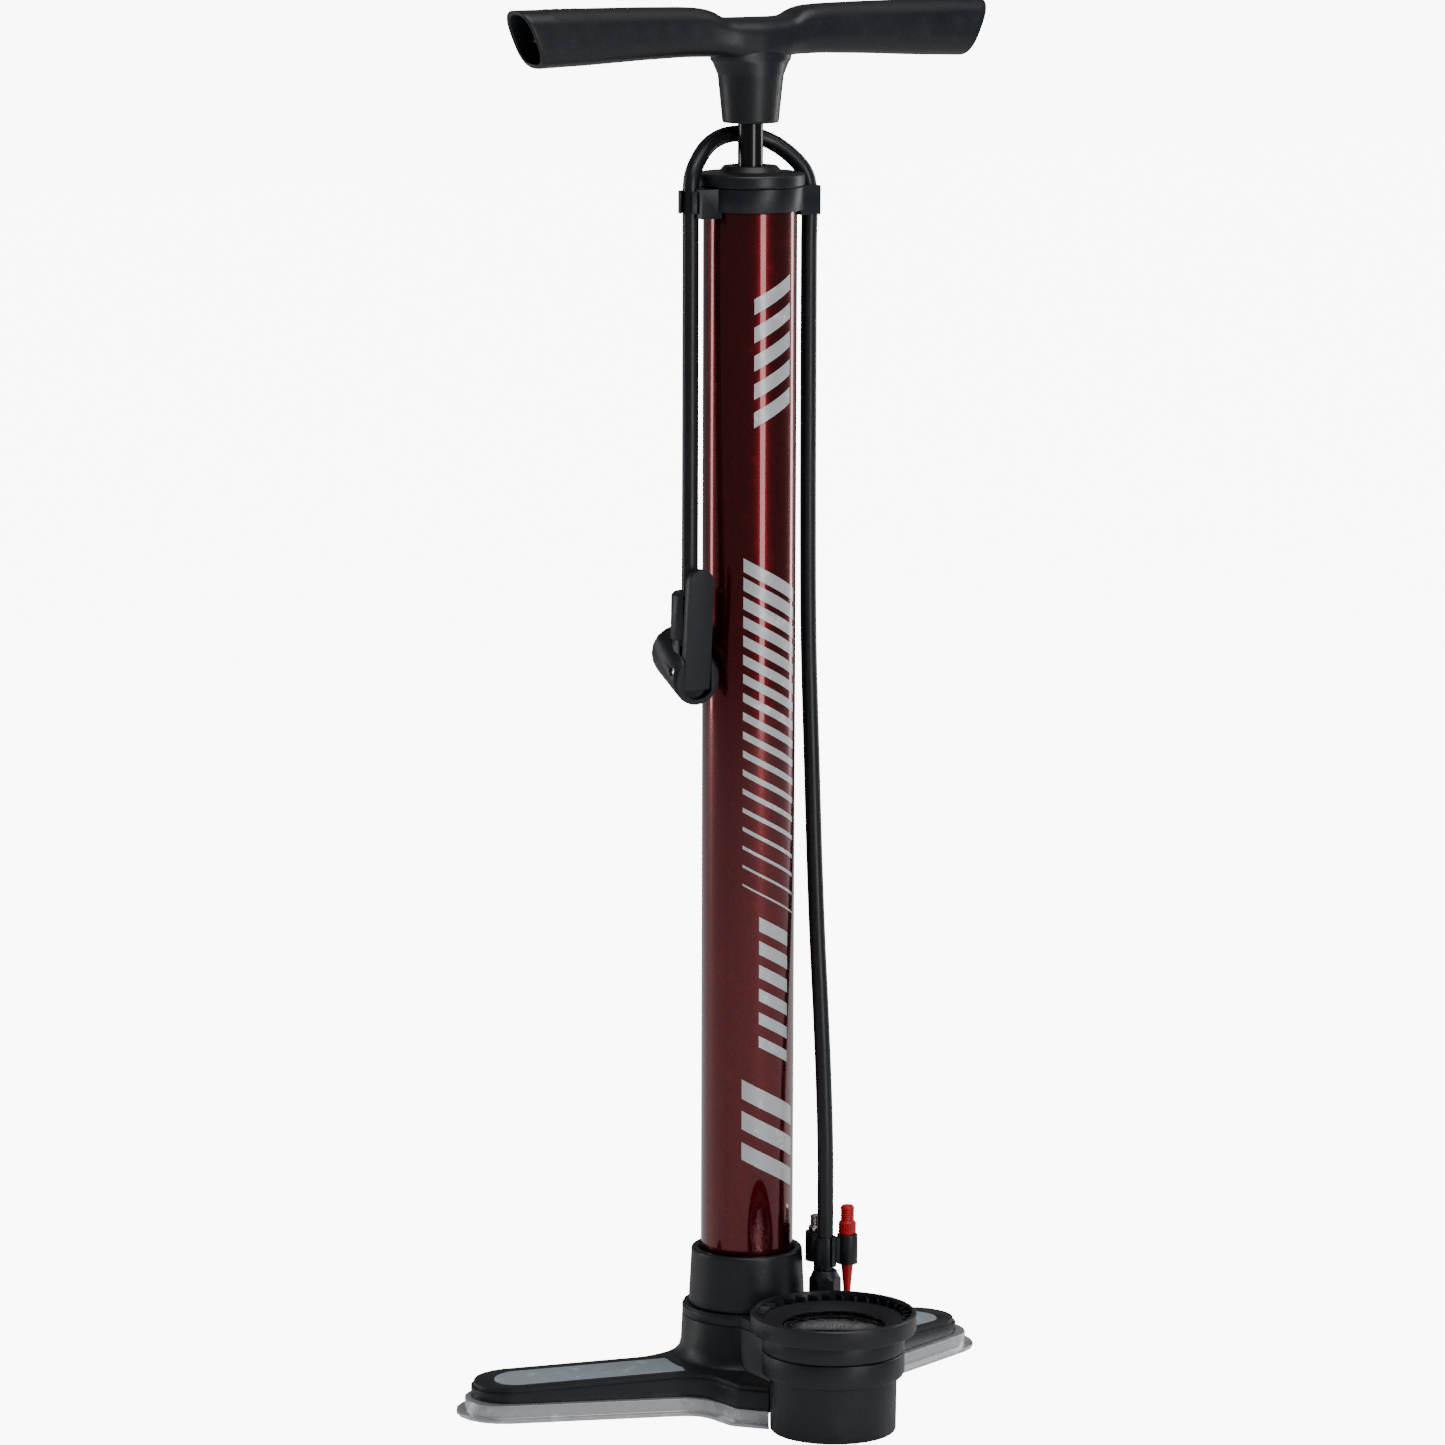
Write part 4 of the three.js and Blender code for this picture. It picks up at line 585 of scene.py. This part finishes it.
def grips():
    """Both grips in one skin: out of one hollow, round its rim, along, and into the other."""
    angle = np.linspace(0, 2 * pi, 72, endpoint=False)
    end = HANDLE_HALF
    hollow = np.linspace(40, end - 1.2, 26)
    turn = np.linspace(0, pi, 9)[1:-1]
    rim_x = end - 1.0 + 1.0 * np.sin(turn)
    rim_inset = GRIP_WALL / 2 + GRIP_WALL / 2 * np.cos(turn)
    skin = np.concatenate([np.linspace(-end + 1.2, -30, 40), np.linspace(-29, 29, 59),
                           np.linspace(30, end - 1.2, 40)])
    x = np.concatenate([-hollow, -rim_x, skin, rim_x[::-1], hollow[::-1]])
    inset = np.concatenate([np.full(len(hollow), GRIP_WALL), rim_inset, np.zeros(len(skin)),
                            rim_inset[::-1], np.full(len(hollow), GRIP_WALL)])
    return carried(grip_section(x, inset, angle))


def stem():
    """The upright stem: a cone that flares towards both grips as it meets them."""
    def flare(radius, angle, height):
        rise = np.clip((height - 571) / 10, 0, 1) ** 2 * (height < 588)
        return radius + 7 * rise * np.abs(np.cos(angle)) ** 3
    return turned(rounded([
        (5.75, 552, 0.3), (11.7, 552, 0.6), (12.1, 553, 0.6), (13.4, 566, 6), (14.0, 572, 4),
        (14.2, 578, 5), (12.2, 587, 3), (12, 590, 0.3), (5.75, 590, 0.3),
    ], True, 10), loop=True, shape=flare)


def hollow_rib(side):
    """A flat rib across the inside of a grip, from wall to wall, back from the leaning end."""
    x = side * np.linspace(42, 103, 12)
    depth = grip_measures(x)[2] / 2 - 1.2
    y = np.stack([-depth, depth, depth, -depth], 1)
    z = np.array([588.2, 588.2, 589.6, 589.6]) + 0 * y
    return carried(np.stack([x[:, None] + 0 * y, y, z], -1))


handle = make_piece("handle_moulding", [grips(), stem(), hollow_rib(-1), hollow_rib(1)], PLASTIC)
stands_for(handle, "handle")


def inlay(side):
    """A soft pad over the crown of a grip, thick in the middle and sunk at its edge.

    Across, the section angle runs over the crown, and along, x runs between two rounded
    ends whose width follows a superellipse of the span.
    """
    along = np.sin(np.linspace(-pi / 2, pi / 2, 61))
    width = (1 - np.abs(along) ** 7) ** (1 / 7)
    x = side * (64.5 + 37.5 * along)
    low, high, depth, lean = (row[:, None] for row in grip_measures(x))
    across = np.linspace(-1, 1, 33)[None]
    angle = pi / 2 + across * width[:, None] * radians(62)
    edge = np.clip(1 - np.maximum(np.abs(across), np.abs(along)[:, None]) ** 14, 0, 1) + 0 * angle

    def skin(lift):
        c, s = np.cos(angle), np.sin(angle)
        y = (depth / 2 + lift) * np.sign(c) * np.abs(c) ** SECTION_POWER
        z = (low + high) / 2 + ((high - low) / 2 + lift) * np.abs(s) ** SECTION_POWER
        return np.stack([x[:, None] - side * lean * (high - z), y, z], -1)

    top, under = skin(0.12 * edge), skin(-0.9 + 0 * edge)
    return carried(np.concatenate([top, under[:, ::-1]], 1))


def slash(side, order):
    """A slanted lens-shaped groove filler near a pad's outer end, on the crown."""
    t = np.linspace(0, 1, 20)
    half = 1.0 * np.sqrt(np.clip(1 - (2 * t - 1) ** 2, 0.02, 1))
    x = side * (101 - 4.6 * order - 4.0 * t + 0 * half)
    low, high, depth, lean = grip_measures(x)
    angle = np.radians(112 - 44 * t)

    def skin(lift, shift):
        c, s = np.cos(angle), np.sin(angle)
        y = (depth / 2 + lift) * np.sign(c) * np.abs(c) ** SECTION_POWER
        z = (low + high) / 2 + ((high - low) / 2 + lift) * np.abs(s) ** SECTION_POWER
        return np.stack([x + side * shift - side * lean * (high - z), y, z], -1)

    return carried(np.stack([skin(0.22, -half), skin(0.22, half), skin(-0.3, half),
                             skin(-0.3, -half)], 1))


for side_name, side in (("left", -1), ("right", 1)):
    node = "grip_inlay_" + side_name
    stands_for(make_piece("grip_pad_" + side_name, [inlay(side)], GRIP), node)
    joins(make_piece("grip_slashes_" + side_name, [slash(side, k) for k in range(4)], SEAL), node)

# ---------------------------------------------------------------- pieces softened from the CAD
EDGE_WIDTHS = {
    "base_plate": 1.1, "base_cover": 0.7, "step_pad_left": 0.5, "step_pad_right": 0.5,
    "top_cover": 0.6, "gauge_column": 0.6, "gauge_bezel": 0.22, "cap_body": 0.7,
    "adapter_holder": 0.35, "head_body": 0.8, "head_neck": 0.7, "head_lever": 0.7,
    "port_ring": 0.6, "lever_pin": 0.3, "clamp_plunger": 0.3, "handle_screw": 0.3,
}
forms = {node: stands_for(softened(node, width, BY_SLOT[SLOT_OF[node]]), node)
         for node, width in EDGE_WIDTHS.items()}

# ---------------------------------------------------------------- gauge window
lens = turned(rounded([
    (0.4, 43.3, 0), (26.4, 43.3, 0.3), (26.4, 44.2, 0.3), (18, 44.75, 12), (0.4, 44.9, 0),
]), (0, GAUGE_Y))
stands_for(make_piece("gauge_window", [lens], GLASS), "gauge_lens")


def dial_mark(turn, inner, outer, half):
    """A thin flat radial bar on the dial, at an angle in degrees from +Y."""
    a = radians(turn + 90)
    out, side = np.array([cos(a), sin(a)]), np.array([-sin(a), cos(a)])
    corners = [[r * out + w * side for w in (-half, half)] for r in (inner, outer)]
    flat = [(*c, z) for z in (38.22, 38.34) for c in (corners[0][0], corners[0][1])]
    far = [(*c, z) for z in (38.22, 38.34) for c in (corners[1][0], corners[1][1])]
    order = [0, 1, 3, 2]
    return carried(np.array([[flat[k] for k in order], [far[k] for k in order]])
                   + [0, GAUGE_Y, 0])


marks = [dial_mark(135 - 270 * k / 60, 17.2 if k % 5 else 15.6, 19.4, 0.16 if k % 5 else 0.32)
         for k in range(61)]
joins(make_piece("dial_marks", marks, INK), "gauge_dial")

# ---------------------------------------------------------------- hose nut and adapters
OUTLET = (24, -26)


def hexed(radius, angle, height):
    """Six flats: the radius is no more than the flat's own distance at each angle."""
    flat = 6.1 / np.cos((angle + pi / 6) % (pi / 3) - pi / 6)
    return np.where(radius > 5.6, np.minimum(radius, flat), radius)


nut = turned(rounded([
    (3.8, 40.3, 0.2), (7, 40.3, 0.4), (7, 52.6, 0.6), (6.3, 53.6, 0.4), (5.0, 56.4, 0.6),
    (3.8, 56.4, 0.2),
], True), OUTLET, loop=True, segments=144, shape=hexed)
stands_for(make_piece("nut_turned", [nut], PLASTIC), "hose_nut")


def ribbed(radius, angle, height):
    """Fine upright ribs round the adapter's collar."""
    band = (height > 71.6) & (height < 76.2)
    return radius + np.where(band, 0.12 * np.cos(22 * angle), 0)


def threaded(bottom, top, radius, pitch, depth):
    """A profile of rounded grooves between two heights: radius less depth at each groove."""
    z = np.linspace(bottom, top, int((top - bottom) / pitch * 8))
    wave = 0.5 - 0.5 * np.cos(2 * pi * (z - bottom) / pitch)
    return np.stack([radius - depth * wave, z], -1)


cone_profile = np.concatenate([
    rounded([(0.4, 43, 0), (1.3, 43, 0.3), (2.6, 57, 0.5), (2.9, 59, 0.4), (2.9, 71.3, 0.2),
             (3.7, 71.3, 0.4), (3.7, 76.4, 0.4), (3.1, 76.8, 0.2)]),
    threaded(77, 82.4, 3.1, 1.05, 0.35), rounded([(3.1, 82.8, 0), (2.5, 83.8, 0.4), (0.4, 83.8, 0)]),
])
cone = turned(cone_profile, (OUTLET[0] + 11, OUTLET[1] - 0.5), shape=ribbed, segments=88)
cone_piece = stands_for(make_piece("cone_turned", [cone], RED), "cone_adapter")
needle_profile = np.concatenate([
    rounded([(0.3, 44, 0), (0.9, 44.6, 0.3), (0.9, 60, 0.3), (2.6, 62, 0.4), (2.6, 71.3, 0.2),
             (3.2, 71.3, 0.3), (3.2, 73.2, 0.3), (2.5, 73.6, 0.2)]),
    threaded(73.8, 77.4, 2.5, 0.9, 0.28), rounded([(2.5, 77.6, 0), (2.1, 78.2, 0.2), (0.4, 78.2, 0)]),
])
needle = turned(needle_profile, (OUTLET[0] + 2, OUTLET[1] + 11), segments=48)
needle_piece = stands_for(make_piece("needle_turned", [needle], CHROME), "ball_needle")

# ---------------------------------------------------------------- floor and light
SEEN_WHITE = 9.0

def whiten(tree, strength, lighting, seen):
    """Sets a strength to one value as light and to another where it is seen directly."""
    path = add_node(tree, "LightPath")
    choice = add_node(tree, "MapRange", {"To Min": lighting, "To Max": seen})
    tree.links.new(path.outputs["Is Camera Ray"], choice.inputs["Value"])
    tree.links.new(choice.outputs[0], strength)


def make_floor():
    """A plain pale floor under the pump."""
    material = finish("floor", (236, 236, 238), 0.6, 4.0, 0.002, 0.05, 0.004)
    shader = material.node_tree.nodes["Principled BSDF"]
    whiten(material.node_tree, shader.inputs["Emission Strength"], 0.0, SEEN_WHITE)
    shader.inputs["Emission Color"].default_value = (1, 1, 1, 1)
    mesh = bpy.data.meshes.new("floor")
    reach = 6.0
    mesh.from_pydata([(-reach, -reach, 0), (reach, -reach, 0), (reach, reach, 0), (-reach, reach, 0)],
                     [], [(0, 1, 2, 3)])
    mesh.materials.append(material)
    floor = bpy.data.objects.new("floor", mesh)
    bpy.context.scene.collection.objects.link(floor)


def make_light(name, place, target, size, power):
    """A large soft square light at place, in metres, that faces target."""
    data = bpy.data.lights.new(name, "AREA")
    data.shape = "RECTANGLE"
    data.size, data.size_y = size
    data.energy = power
    light = bpy.data.objects.new(name, data)
    away = np.array(place, float) - np.array(target, float)
    away /= np.linalg.norm(away)
    across = np.cross([0, 0, 1], away)
    across /= np.linalg.norm(across)
    matrix = np.eye(4)
    matrix[:3, 0], matrix[:3, 1], matrix[:3, 2] = across, np.cross(away, across), away
    matrix[:3, 3] = place
    light.matrix_world = Matrix(matrix)
    bpy.context.scene.collection.objects.link(light)


make_floor()
make_light("key", (0.05, -2.2, 0.75), (0, 0, 0.35), (0.5, 1.6), 16)
make_light("left", (-1.5, 1.6, 0.6), (0, 0, 0.3), (0.3, 1.6), 9)
make_light("right", (2.0, 0.2, 0.6), (0, 0, 0.3), (0.35, 1.6), 12)
make_light("top", (0.1, -0.6, 2.4), (0, 0, 0.3), (1.6, 1.6), 26)

world = bpy.data.worlds.new("studio")
bpy.context.scene.world = world
world.use_nodes = True
backdrop = world.node_tree.nodes["Background"]
backdrop.inputs["Color"].default_value = (1, 1, 1, 1)
whiten(world.node_tree, backdrop.inputs["Strength"], 0.14, SEEN_WHITE)
